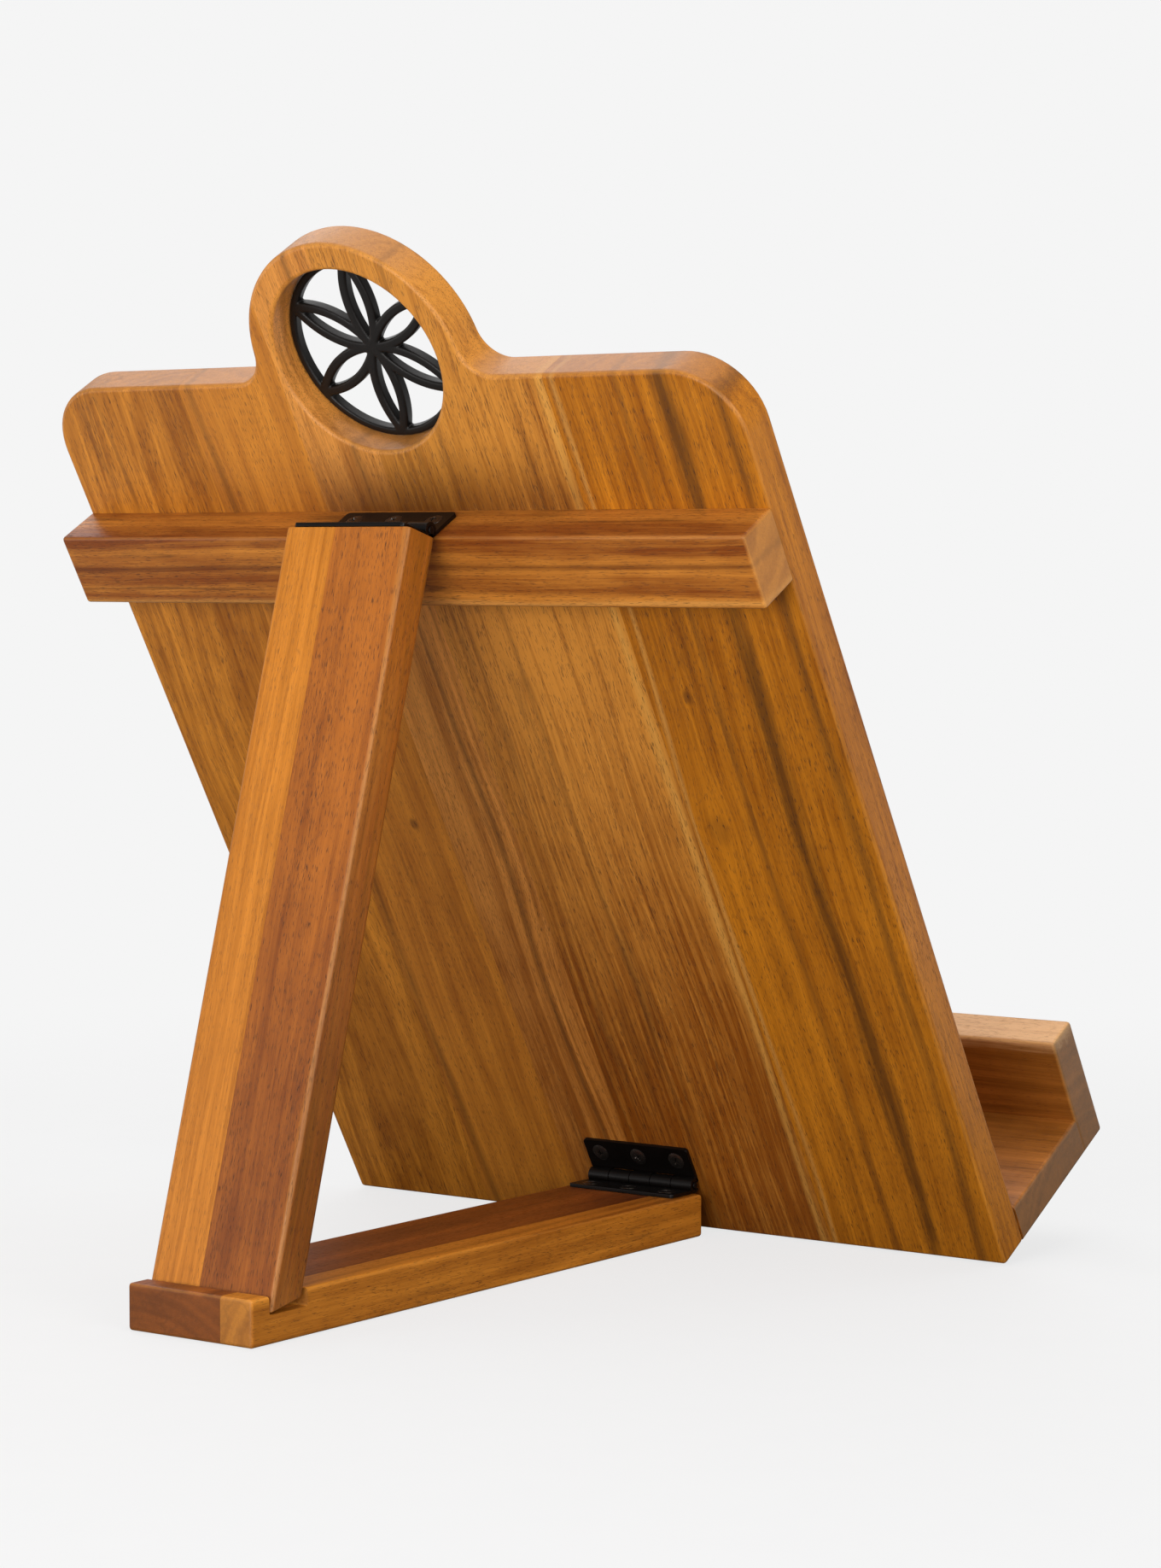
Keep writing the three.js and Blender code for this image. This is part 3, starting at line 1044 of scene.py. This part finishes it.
# ---- board ----
@dataclass
class Board:
    """The leaning board: five staves cut from one blank, with a lobe and its hole."""

    width: float = 0.300
    thickness: float = BOARD_THICKNESS
    shoulder: float = 0.3645
    corner: float = 0.025
    lobe_centre: float = 0.3715
    lobe_radius: float = 0.0445
    hole_radius: float = 0.0345
    fillet: float = 0.012
    arris: float = 0.0017
    seams: tuple[float, ...] = (-0.150, -0.076, 0.004, 0.036, 0.084, 0.150)

    def blank(self) -> Workpiece:
        """Shapes the glued blank before it is parted into staves.

        Returns:
            The blank with rounded corners, lobe, hole and softened arrises.
        """
        blank = self.outline()
        blank.choose_faces(lambda centre, normal: True)
        blank.extrude((0, -self.thickness, 0))
        blank.close().tidy()
        hole = Workpiece.rod(
            "hole",
            (self.hole_radius, self.hole_radius),
            (0, -2 * self.thickness, self.lobe_centre),
            (0, self.thickness, self.lobe_centre),
            128,
        )
        blank.cut(hole)
        return blank.soften(self.arris, 3)

    def outline(self) -> Workpiece:
        """Walks a point round the board's outline, straight or in arcs, and fills it.

        Returns:
            The outline as one face on the board's back plane.
        """
        half = self.width / 2
        rise = self.shoulder + self.fillet
        reach = math.sqrt(
            (self.lobe_radius + self.fillet) ** 2 - (rise - self.lobe_centre) ** 2
        )
        meet = math.degrees(math.atan2(rise - self.lobe_centre, reach))
        turn = self.shoulder - self.corner
        sheet = Workpiece.sheet("board_blank", (-half, 0, 0), 0.01, (0, 1, 0))
        sheet.choose_all()
        bpy.ops.mesh.merge(type="CENTER")
        self.walk((self.width, 0, 0))
        self.walk((0, 0, turn))
        self.sweep(half - self.corner, turn, 90, 14)
        self.walk((reach - half + self.corner, 0, 0))
        self.sweep(reach, rise, meet - 90, 12)
        self.sweep(0, self.lobe_centre, 180 - 2 * meet, 72)
        self.sweep(-reach, rise, meet - 90, 12)
        self.walk((reach - half + self.corner, 0, 0))
        self.sweep(self.corner - half, turn, 90, 14)
        bpy.ops.mesh.select_all(action="SELECT")
        bpy.ops.mesh.remove_doubles(threshold=1e-7)
        bpy.ops.mesh.edge_face_add()
        return sheet.close()

    @staticmethod
    def walk(step: Triple) -> None:
        """Draws a straight run from the selected point."""
        bpy.ops.mesh.extrude_vertices_move(TRANSFORM_OT_translate={"value": step})

    @staticmethod
    def sweep(x: float, z: float, angle: float, steps: int) -> None:
        """Draws an arc from the selected point round a centre, by degrees from x towards z."""
        bpy.ops.mesh.spin(
            steps=steps, angle=math.radians(angle), center=(x, 0, z), axis=(0, 1, 0)
        )

    def build(self, dowels: "Dowels") -> None:
        """Parts the blank into staves, bores them and dresses them.

        Args:
            dowels: the dowels that the staves are bored for.
        """
        blank = self.blank()
        for index, timber in enumerate(STAVE_TIMBERS):
            node = f"board_stave_{index + 1}"
            left, right = self.seams[index], self.seams[index + 1]
            stave = blank.copy(f"{node}_wood")
            if index > 0:
                stave.saw((left + SEAM, 0, 0), (-1, 0, 0))
            if index + 2 < len(self.seams):
                stave.saw((right - SEAM, 0, 0), (1, 0, 0))
            dowels.bore(stave, Joint.SHELF, left, right)
            stave.place(board_place())
            stave.dress(node, timber.make())
        blank.scrap()


# ---- ledge, dowels and batten ----
class Joint(Enum):
    """Where a row of dowels sits."""

    SHELF = "shelf_dowel"
    LIP = "lip_dowel"


@dataclass
class Dowels:
    """Fluted pegs that hold the shelf to the board and the lip to the shelf."""

    places: tuple[float, ...] = (-0.112, -0.050, 0.050, 0.112)
    height: float = 0.0075
    radii: tuple[float, float] = (0.004, 0.003)
    behind: tuple[float, float] = (0.009, 0.015)
    ahead: tuple[float, float] = (0.015, 0.009)
    planes: tuple[float, float] = (-0.015, -0.0675)
    slack: float = 0.00015
    spare: float = 0.0005
    facets: int = 48

    def row(self, joint: Joint) -> int:
        """Gives a joint's place in the size pairs."""
        return 0 if joint is Joint.SHELF else 1

    def bore(self, piece: Workpiece, joint: Joint, left: float, right: float) -> None:
        """Bores a piece for a row of dowels.

        Args:
            piece: the piece.
            joint: the row.
            left: where the piece starts along x.
            right: where it ends.
        """
        row = self.row(joint)
        radius = self.radii[row] + self.slack
        near = self.planes[row] + self.behind[row] + self.spare
        far = self.planes[row] - self.ahead[row] - self.spare
        for x in self.places:
            if left < x < right:
                start, end = (x, far, self.height), (x, near, self.height)
                piece.cut(Workpiece.rod("drill", (radius, radius), start, end, 32))

    def peg(self, joint: Joint) -> Workpiece:
        """Turns one peg with chamfered ends and pressed flutes.

        Args:
            joint: the row it is for.

        Returns:
            The peg, with its joint's plane at y 0.
        """
        row = self.row(joint)
        radius, near, far = self.radii[row], self.behind[row], -self.ahead[row]
        peg = Workpiece.rod("peg", (radius, radius), (0, far, 0), (0, near, 0), self.facets)
        peg.choose_edges(lambda middle, run: run.y < 0.1)
        bpy.ops.mesh.bevel(offset=radius * 0.2, segments=2, affect="EDGES")
        peg.close()
        peg.choose_faces(
            lambda centre, normal: abs(normal.y) < 0.1
            and int((math.atan2(centre.z, centre.x) / math.tau + 1) * self.facets) % 4 == 0
        )
        bpy.ops.mesh.inset(thickness=radius * 0.03, depth=-radius * 0.05, use_individual=True)
        return peg.close()

    def build(self) -> None:
        """Copies the two pegs to their places."""
        timber = DOWEL_TIMBER.make()
        for joint in Joint:
            peg = self.peg(joint)
            for index, x in enumerate(self.places):
                node = f"{joint.value}_{index + 1}"
                twin = peg.copy(f"{node}_peg")
                spot = Matrix.Translation((x, self.planes[self.row(joint)], self.height))
                twin.place(board_place() @ spot)
                twin.dress(node, timber)
            peg.scrap()


@dataclass
class Ledge:
    """The shelf that carries the book and the lip that keeps it in."""

    width: float = 0.300
    back: float = -0.015
    lip_back: float = -0.0675
    front: float = -0.0825
    shelf_height: float = 0.015
    lip_height: float = 0.050
    arris: float = 0.0014

    def build(self, dowels: Dowels) -> None:
        """Builds the shelf and the lip and bores them.

        Args:
            dowels: the dowels that they are bored for.
        """
        half = self.width / 2
        timber = LEDGE_TIMBER.make()
        shelf = Workpiece.block(
            "ledge_shelf_wood",
            (-half, self.lip_back + SEAM, 0),
            (half, self.back - SEAM, self.shelf_height),
        )
        shelf.round_edges(
            lambda middle, run: run.y > ALONG and abs(middle.x) > half - TINY, self.arris, 3
        )
        dowels.bore(shelf, Joint.SHELF, -half, half)
        dowels.bore(shelf, Joint.LIP, -half, half)
        shelf.place(board_place()).dress("ledge_shelf", timber)

        lip = Workpiece.block(
            "ledge_lip_wood", (-half, self.front, 0), (half, self.lip_back - SEAM, self.lip_height)
        )
        lip.round_edges(
            lambda middle, run: not (middle.z < TINY and middle.y > self.lip_back - TINY * 10),
            self.arris, 3,
        )
        dowels.bore(lip, Joint.LIP, -half, half)
        lip.place(board_place()).dress("ledge_lip", timber)


@dataclass
class Batten:
    """The bar across the board's back, which carries the leg's hinge."""

    width: float = 0.300
    bottom: float = 0.286
    top: float = 0.3135
    thickness: float = 0.0185
    arris: float = 0.0013

    def build(self) -> None:
        """Builds the batten, square where it meets the board."""
        half = self.width / 2
        bar = Workpiece.block(
            "back_batten_wood", (-half, SEAM, self.bottom), (half, self.thickness, self.top)
        )
        bar.round_edges(lambda middle, run: middle.y > self.thickness * 0.4, self.arris, 3)
        bar.place(board_place()).dress("back_batten", BATTEN_TIMBER.make())


# ---- leg and arm ----
@dataclass
class Leg:
    """The prop leg: a pale and a brown stave with a bevelled foot, hung on the upper hinge."""

    width: float = 0.054
    front: float = 0.0006
    back: float = 0.0156
    top: float = -0.00305
    foot_bevel: float = 0.0078
    seam: float = 0.005
    arris: float = 0.0018
    end_arris: float = 0.0007

    def blank(self, drop: float) -> Workpiece:
        """Shapes the glued leg before it is parted.

        Args:
            drop: length below the axis along the back face.

        Returns:
            The leg with its foot sawn on the bevel and its arrises rounded.
        """
        half = self.width / 2
        blank = Workpiece.block("leg_blank", (-half, self.front, -drop), (half, self.back, self.top))
        outside = (0, -self.foot_bevel, self.front - self.back)
        blank.saw((0, self.back, -drop), outside)
        blank.round_edges(lambda middle, run: run.z > ALONG, self.arris, 4)
        foot = self.foot_bevel - drop
        blank.round_edges(
            lambda middle, run: run.z < 0.6 and (middle.z > self.top - TINY or middle.z < foot + TINY),
            self.end_arris, 2,
        )
        return blank

    def build(self) -> None:
        """Parts the leg at its seam and dresses both staves."""
        tilt, drop = leg_stance(self.back)
        blank = self.blank(drop)
        staves = (
            ("leg_stave_brown", 1, BROWN_LEG_TIMBER),
            ("leg_stave_pale", -1, PALE_LEG_TIMBER),
        )
        for node, side, timber in staves:
            stave = blank.copy(f"{node}_wood")
            stave.saw((self.seam - side * SEAM, 0, 0), (side, 0, 0))
            stave.place(on_axis("leg_swing", tilt)).dress(node, timber.make())
        blank.scrap()


@dataclass
class Arm:
    """The foot arm: a dark and a gold stave with a notch for the leg's foot."""

    width: float = 0.054
    front: float = -0.0004
    top: float = -0.00305
    thickness: float = 0.016
    notch_depth: float = 0.0062
    notch_front: float = 0.0281        # ahead of the rear end
    notch_rear: float = 0.0088         # ahead of the rear end
    seam: float = -0.0135
    arris: float = 0.0013
    notch_arris: float = 0.0005
    notch_corner: float = 0.001

    def blank(self) -> Workpiece:
        """Shapes the glued arm before it is parted.

        Returns:
            The arm with rounded arrises and its notch.
        """
        half = self.width / 2
        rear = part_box("arm_stave_dark")[1].y - AXIS_OF["arm_fold"].y
        blank = Workpiece.block(
            "arm_blank", (-half, self.front, self.top - self.thickness), (half, rear, self.top)
        )
        blank.round_edges(lambda middle, run: True, self.arris, 3)
        floor = self.top - self.notch_depth
        walls = (rear - self.notch_front, rear - self.notch_rear)
        notch = Workpiece.block(
            "notch", (-self.width, walls[0], floor), (self.width, walls[1], self.notch_depth)
        )
        notch.round_edges(
            lambda middle, run: run.x > ALONG and middle.z < floor + TINY, self.notch_corner, 3
        )
        blank.cut(notch)
        blank.round_edges(
            lambda middle, run: middle.z > self.top - TINY
            and run.x > ALONG
            and min(abs(middle.y - wall) for wall in walls) < TINY,
            self.notch_arris, 2,
        )
        return blank

    def build(self) -> None:
        """Parts the arm at its seam and dresses both staves."""
        blank = self.blank()
        staves = (
            ("arm_stave_gold", 1, GOLD_ARM_TIMBER),
            ("arm_stave_dark", -1, DARK_ARM_TIMBER),
        )
        for node, side, timber in staves:
            stave = blank.copy(f"{node}_wood")
            stave.saw((self.seam - side * SEAM, 0, 0), (side, 0, 0))
            stave.place(on_axis("arm_fold", 0)).dress(node, timber.make())
        blank.scrap()


# ---- hinges ----
class Leaf(Enum):
    """The two leaves of a butt hinge, by the first knuckle that each one owns."""

    FIXED = 0
    MOVING = 1


@dataclass
class ButtHinge:
    """A butt hinge: two leaves rolled round a pin, held by three countersunk screws each.

    A leaf's frame has the axis along x at its origin and the plate on the -z side.
    """

    length: float = 0.048
    leaf_width: float = 0.0155
    thickness: float = 0.0014
    barrel: float = 0.00295
    knuckles: int = 5
    clearance: float = 0.00015
    leaf_corner: float = 0.0015
    roll: float = 298.0                # degrees that a knuckle wraps round the pin
    pin_radius: float = 0.0013
    screw_pitch: float = 0.0175
    screw_reach: float = 0.0098
    head_radius: float = 0.0034
    head_depth: float = 0.0019
    shank_radius: float = 0.0014
    screw_length: float = 0.0115
    screw_rim: float = 0.0002
    plain_shank: float = 0.0008
    thread_turns: int = 7
    thread_pitch: float = 0.001
    thread_crest: float = 1.18         # of the shank's radius
    screw_tip: float = 0.15            # of the shank's radius
    dome: float = 0.0004

    def spans(self, leaf: Leaf) -> list[tuple[float, float]]:
        """Lists the stretches of the barrel that a leaf's knuckles fill.

        Args:
            leaf: which of the two.

        Returns:
            The start and the end of each along x.
        """
        pitch = self.length / self.knuckles
        starts = [-self.length / 2 + i * pitch for i in range(leaf.value, self.knuckles, 2)]
        return [(x + self.clearance, x + pitch - self.clearance) for x in starts]

    def leaf(self, leaf: Leaf) -> Workpiece:
        """Forms a leaf whose plate runs along -y.

        Args:
            leaf: which of the two.

        Returns:
            The leaf with rolled knuckles and countersunk holes.
        """
        half, inside = self.length / 2, self.thickness - self.barrel
        bend = -math.sqrt(self.barrel**2 - inside**2) - self.clearance
        plate = Workpiece.block(
            "leaf", (-half, -self.leaf_width, -self.barrel), (half, bend, inside)
        )
        plate.round_edges(
            lambda middle, run: run.z > ALONG and middle.y < TINY - self.leaf_width,
            self.leaf_corner, 4,
        )
        spans = self.spans(leaf)
        for left, right in spans:
            plate.score((left, 0, 0), (1, 0, 0))
            plate.score((right, 0, 0), (1, 0, 0))
        plate.choose_faces(
            lambda centre, normal: normal.y > ALONG
            and any(left < centre.x < right for left, right in spans)
        )
        plate.extrude((0, -bend, 0))
        bpy.ops.mesh.spin(
            steps=26, angle=math.radians(self.roll), center=(0, 0, 0), axis=(1, 0, 0)
        )
        plate.close().tidy()
        for x in self.screw_places():
            spot = (x, -self.screw_reach)
            sink = Workpiece.rod(
                "countersink",
                (self.shank_radius + self.clearance, self.head_radius + self.clearance),
                (*spot, inside - self.head_depth),
                (*spot, inside + TINY),
                40,
            )
            plate.cut(sink)
        return plate.soften(0.00018, 2)

    def screw_places(self) -> tuple[float, ...]:
        """Gives the screws' places along the leaf."""
        return (-self.screw_pitch, 0.0, self.screw_pitch)

    def screw(self) -> Workpiece:
        """Forms a domed countersunk screw with a cross recess, its head's rim on z 0.

        Returns:
            The screw, pointing down -z.
        """
        radius = self.head_radius
        body = Workpiece.rod("screw", (radius, radius), (0, 0, -self.screw_rim), (0, 0, 0), 40)
        body.choose_faces(lambda centre, normal: normal.z > ALONG)
        for share in (0.72, 0.4):
            bpy.ops.mesh.inset(thickness=radius * 0.3, depth=self.dome * share)
        body.close()
        body.choose_faces(lambda centre, normal: normal.z < -ALONG)
        neck = self.shank_radius / radius
        body.extrude((0, 0, self.screw_rim - self.head_depth), (neck, neck, 1))
        body.extrude((0, 0, -self.plain_shank))
        crest = self.thread_crest
        for _ in range(self.thread_turns):
            body.extrude((0, 0, -self.thread_pitch / 2), (crest, crest, 1))
            body.extrude((0, 0, -self.thread_pitch / 2), (1 / crest, 1 / crest, 1))
        shank = self.head_depth + self.plain_shank + self.thread_turns * self.thread_pitch
        body.extrude((0, 0, shank - self.screw_length), (self.screw_tip, self.screw_tip, 1))
        body.close()
        body.cut(self.cross())
        return body.tidy().soften(0.00008, 2, 30)

    def cross(self) -> Workpiece:
        """Forms the driver's cross that presses the recess.

        Returns:
            The cross, its tip below z 0.
        """
        reach, wide, deep = self.head_radius * 0.52, 0.0003, 0.0014
        blades = []
        for near, far in ((reach, wide), (wide, reach)):
            blade = Workpiece.block("blade", (-near, -far, -deep), (near, far, 0.001))
            blade.choose_faces(lambda centre, normal: normal.z < -ALONG)
            bpy.ops.transform.resize(value=(0.45, 0.45, 1), center_override=(0, 0, -deep))
            blades.append(blade.close())
        return blades[0].cut(blades[1], "UNION")

    def pin(self) -> Workpiece:
        """Turns the pin, its ends upset into low domes.

        Returns:
            The pin along x.
        """
        half, radius = self.length / 2 + 0.0001, self.pin_radius
        pin = Workpiece.rod("pin", (radius, radius), (-half, 0, 0), (half, 0, 0), 32)
        for side in (-1, 1):
            pin.choose_faces(lambda centre, normal: normal.x * side > ALONG)
            bpy.ops.mesh.inset(thickness=radius * 0.25, depth=0.0001)
            bpy.ops.mesh.inset(thickness=radius * 0.35, depth=0.00006)
            pin.close()
        return pin.soften(0.0001, 2)


@dataclass(frozen=True)
class LeafSeat:
    """Where one leaf sits: its node prefix, joint, kind and turn about the axis."""

    prefix: str
    joint: str
    leaf: Leaf
    turn: float


@dataclass
class Hinges:
    """Both hinges of the stand, with their screws and pins."""

    hinge: ButtHinge
    screw_turns: tuple[float, ...] = (12, 57, 31, 74, 5, 48, 66, 22, 83, 38, 15, 61)

    def seats(self) -> tuple[LeafSeat, ...]:
        """Lists the four leaves' seats."""
        leg_turn = leg_stance(Leg.back)[0]
        return (
            LeafSeat("batten_hinge", "leg_swing", Leaf.FIXED, -LEAN),
            LeafSeat("leg_hinge", "leg_swing", Leaf.MOVING, leg_turn),
            LeafSeat("board_hinge", "arm_fold", Leaf.FIXED, -LEAN - math.pi / 2),
            LeafSeat("arm_hinge", "arm_fold", Leaf.MOVING, 0.0),
        )

    def build(self) -> None:
        """Copies the leaves, screws and pin to their places."""
        coat, screw_coat = HINGE_METAL.make(), SCREW_METAL.make()
        leaves = {leaf: self.hinge.leaf(leaf) for leaf in Leaf}
        screw, pin = self.hinge.screw(), self.hinge.pin()
        turns = iter(self.screw_turns)
        head = self.hinge.thickness - self.hinge.barrel
        for seat in self.seats():
            spot = on_axis(seat.joint, seat.turn)
            if seat.leaf is Leaf.MOVING:
                spot = spot @ Matrix.Rotation(math.pi, 4, "Z")
            node = f"{seat.prefix}_leaf"
            leaves[seat.leaf].copy(f"{node}_plate").place(spot).dress(node, coat)
            places = sorted(self.hinge.screw_places(), reverse=seat.leaf is Leaf.MOVING)
            for index, x in enumerate(places):
                node = f"{seat.prefix}_screw_{index + 1}"
                stand = Matrix.Translation((x, -self.hinge.screw_reach, head))
                turn = Matrix.Rotation(math.radians(next(turns)), 4, "Z")
                twin = screw.copy(f"{node}_cross_head").place(spot @ stand @ turn)
                twin.dress(node, screw_coat, 30)
        for node, joint in (("upper_hinge_pin", "leg_swing"), ("lower_hinge_pin", "arm_fold")):
            pin.copy(f"{node}_rod").place(on_axis(joint, 0)).dress(node, coat)
        for pattern in (*leaves.values(), screw, pin):
            pattern.scrap()


# ---- medallion ----
@dataclass
class Medallion:
    """A cast ring filled by a rosette of six equal arcs that meet in its middle."""

    radius: float = 0.0342
    ring: float = 0.0028
    bar: float = 0.0034
    front: float = -0.0145
    back: float = -0.0105
    centre: float = 0.3715
    petals: int = 6
    grit: float = 0.00032               # grain of the casting's mesh
    edge: float = 0.0007

    def hoop(self, name: str, radius: float, width: float, start: Matrix, sweep: float) -> Workpiece:
        """Sweeps a bar's cross-section round a centre.

        Args:
            name: the piece's name.
            radius: middle radius of the bar.
            width: the bar's width.
            start: frame of the sweep: centre at its origin, bar starting along its x.
            sweep: degrees.

        Returns:
            The bar.
        """
        middle = (self.front + self.back) / 2
        section = Workpiece.sheet(name, (0, 0, 0), 1.0, (0, 0, 1))
        section.choose_all()
        deep = self.back - self.front
        bpy.ops.transform.resize(value=(width, deep, 1), center_override=(0, 0, 0))
        bpy.ops.mesh.bevel(offset=self.edge, segments=3, affect="VERTICES")
        bpy.ops.transform.translate(value=(radius, middle, 0))
        full = sweep > 359
        bpy.ops.mesh.spin(
            steps=120 if full else 48, angle=math.radians(sweep), center=(0, 0, 0), axis=(0, 1, 0)
        )
        section.close().tidy()
        return section.place(start)

    def build(self) -> None:
        """Fuses the ring and the arcs into one casting with soft corners."""
        middle = self.radius - self.ring / 2
        whole = self.hoop("medallion_casting", middle, self.ring, Matrix.Identity(4), 360)
        parts = [whole]
        for petal in range(self.petals):
            angle = (petal + 0.5) * math.tau / self.petals
            spot = Matrix.Translation((middle * math.cos(angle), 0, middle * math.sin(angle)))
            turn = Matrix.Rotation(math.pi - angle + math.pi / 3, 4, "Y")
            parts.append(self.hoop("arc", middle, self.bar, spot @ turn, 120))
        clear_bench()
        for part in parts:
            part.body.select_set(True)
        bpy.context.view_layer.objects.active = whole.body
        bpy.ops.object.join()
        whole.finish_with("REMESH", mode="VOXEL", voxel_size=self.grit)
        whole.finish_with("SMOOTH", factor=0.5, iterations=6)
        whole.finish_with("DECIMATE", ratio=0.5)
        lift = Matrix.Translation((0, 0, self.centre))
        whole.place(board_place() @ lift).dress("medallion", CAST_METAL.make(), 60)


# ---- studio ----
@dataclass(frozen=True)
class Softbox:
    """A square soft light: where it hangs, its side and its power."""

    name: str
    place: Triple
    side: float
    power: float


@dataclass
class Studio:
    """A plain pale floor that fades into the backdrop, soft lights and the camera."""

    backdrop: float = 0.913
    fill: float = 0.34                 # light from all round
    floor_radius: float = 9.0
    floor_gap: float = 0.0002          # below the stand's feet
    floor_shade: float = 0.14
    floor_glow: float = 0.75
    floor_fade: tuple[float, float] = (0.32, 0.85)       # where it turns into the backdrop
    aim: Triple = (0.0, 0.0, 0.22)
    camera_place: Triple = (-0.8471, 1.1219, 0.2574)
    azimuth: float = 215.96
    elevation: float = 3.4
    lens: float = 89.78
    softboxes: tuple[Softbox, ...] = (
        Softbox("overhead softbox", (0.0, 0.1, 1.5), 1.2, 8.5),
        Softbox("low key softbox", (-0.3, 1.2, 0.12), 0.8, 13),
        Softbox("low left softbox", (1.1, 0.75, 0.1), 0.6, 3),
        Softbox("side softbox", (-1.3, 0.5, 0.5), 0.7, 7),
        Softbox("front softbox", (1.0, -0.7, 1.4), 1.0, 7),
    )

    def build(self) -> None:
        """Builds the floor, backdrop, lights and camera."""
        self.floor()
        self.sky()
        for box in self.softboxes:
            self.hang(box)
        self.camera()

    def floor(self) -> None:
        """Lays a round pale floor whose rim takes the backdrop's own brightness."""
        clear_bench()
        bpy.ops.mesh.primitive_circle_add(
            vertices=128,
            radius=self.floor_radius,
            fill_type="NGON",
            location=(0, 0, -self.floor_gap),
        )
        slab = Workpiece("studio_floor")
        mix = Recipe("pale floor")
        source = mix.add("ShaderNodeTexCoord")
        across, along, _ = mix.split(source.outputs["Object"])
        away = mix.vector("LENGTH", mix.join(across, along, 0.0)).outputs["Value"]
        speck = mix.noise(source.outputs["Object"], (0.02, 0.02, 0.02), 1.0, 3.0)
        shade = mix.math("MULTIPLY_ADD", speck, 0.01, self.floor_shade)
        mix.feed(mix.shader.inputs["Base Color"], mix.join(shade, shade, shade))
        mix.shader.inputs["Roughness"].default_value = 0.9
        mix.shader.inputs["Specular IOR Level"].default_value = 0.1
        ray = mix.add("ShaderNodeLightPath")
        seen = mix.math("MULTIPLY", ray.outputs["Is Camera Ray"], self.floor_glow)
        near = mix.add("ShaderNodeAddShader")
        mix.feed(near.inputs[0], mix.shader.outputs[0])
        mix.feed(near.inputs[1], self.glow(mix, seen))
        fade = mix.add("ShaderNodeMixShader")
        mix.feed(fade.inputs[0], mix.ramp(away, *self.floor_fade))
        mix.feed(fade.inputs[1], near.outputs[0])
        mix.feed(fade.inputs[2], self.glow(mix, self.backdrop))
        output = next(n for n in mix.tree.nodes if n.type == "OUTPUT_MATERIAL")
        mix.feed(output.inputs["Surface"], fade.outputs[0])
        slab.body.data.materials.append(mix.material)

    def glow(self, mix: Recipe, strength: Value) -> Socket:
        """Adds a white glow.

        Args:
            mix: the recipe.
            strength: how bright it is.

        Returns:
            The glow's shader.
        """
        node = mix.add("ShaderNodeEmission")
        mix.feed(node.inputs["Strength"], strength)
        return node.outputs[0]

    def sky(self) -> None:
        """Hangs a white backdrop all round, which lights the stand more dimly than it looks."""
        world = bpy.data.worlds.new("studio")
        bpy.context.scene.world = world
        world.use_nodes = True
        nodes, links = world.node_tree.nodes, world.node_tree.links
        ray = nodes.new("ShaderNodeLightPath")
        level = nodes.new("ShaderNodeMapRange")
        level.inputs["To Min"].default_value = self.fill
        level.inputs["To Max"].default_value = self.backdrop
        links.new(ray.outputs["Is Camera Ray"], level.inputs["Value"])
        background = nodes["Background"]
        background.inputs["Color"].default_value = (1, 1, 1, 1)
        links.new(level.outputs[0], background.inputs["Strength"])

    def hang(self, box: Softbox) -> None:
        """Hangs a softbox that faces the stand and is itself unseen.

        Args:
            box: the softbox.
        """
        light = bpy.data.lights.new(box.name, "AREA")
        light.shape = "SQUARE"
        light.size = box.side
        light.energy = box.power
        lamp = bpy.data.objects.new(box.name, light)
        bpy.context.scene.collection.objects.link(lamp)
        lamp.location = box.place
        lamp.visible_camera = False
        facing = Vector(self.aim) - Vector(box.place)
        lamp.rotation_euler = facing.to_track_quat("-Z", "Y").to_euler()

    def camera(self) -> None:
        """Sets the camera up behind the stand, a little above the table."""
        data = bpy.data.cameras.new("studio camera")
        camera = bpy.data.objects.new("studio camera", data)
        bpy.context.scene.collection.objects.link(camera)
        turn, lift = math.radians(self.azimuth), math.radians(self.elevation)
        back = Vector(
            (math.sin(turn) * math.cos(lift), -math.cos(turn) * math.cos(lift), math.sin(lift))
        )
        camera.location = self.camera_place
        camera.rotation_euler = (-back).to_track_quat("-Z", "Y").to_euler()
        data.lens = self.lens
        data.clip_start, data.clip_end = 0.02, 50
        bpy.context.scene.camera = camera


def main() -> None:
    """Builds the stand piece by piece, then the studio."""
    bpy.context.scene.view_settings.view_transform = "Standard"
    dowels = Dowels()
    Board().build(dowels)
    Ledge().build(dowels)
    dowels.build()
    Batten().build()
    Leg().build()
    Arm().build()
    Hinges(ButtHinge()).build()
    Medallion().build()
    Studio().build()


if __name__ == "__main__":
    logging.basicConfig(level=logging.INFO, format="%(name)s: %(message)s")
    main()
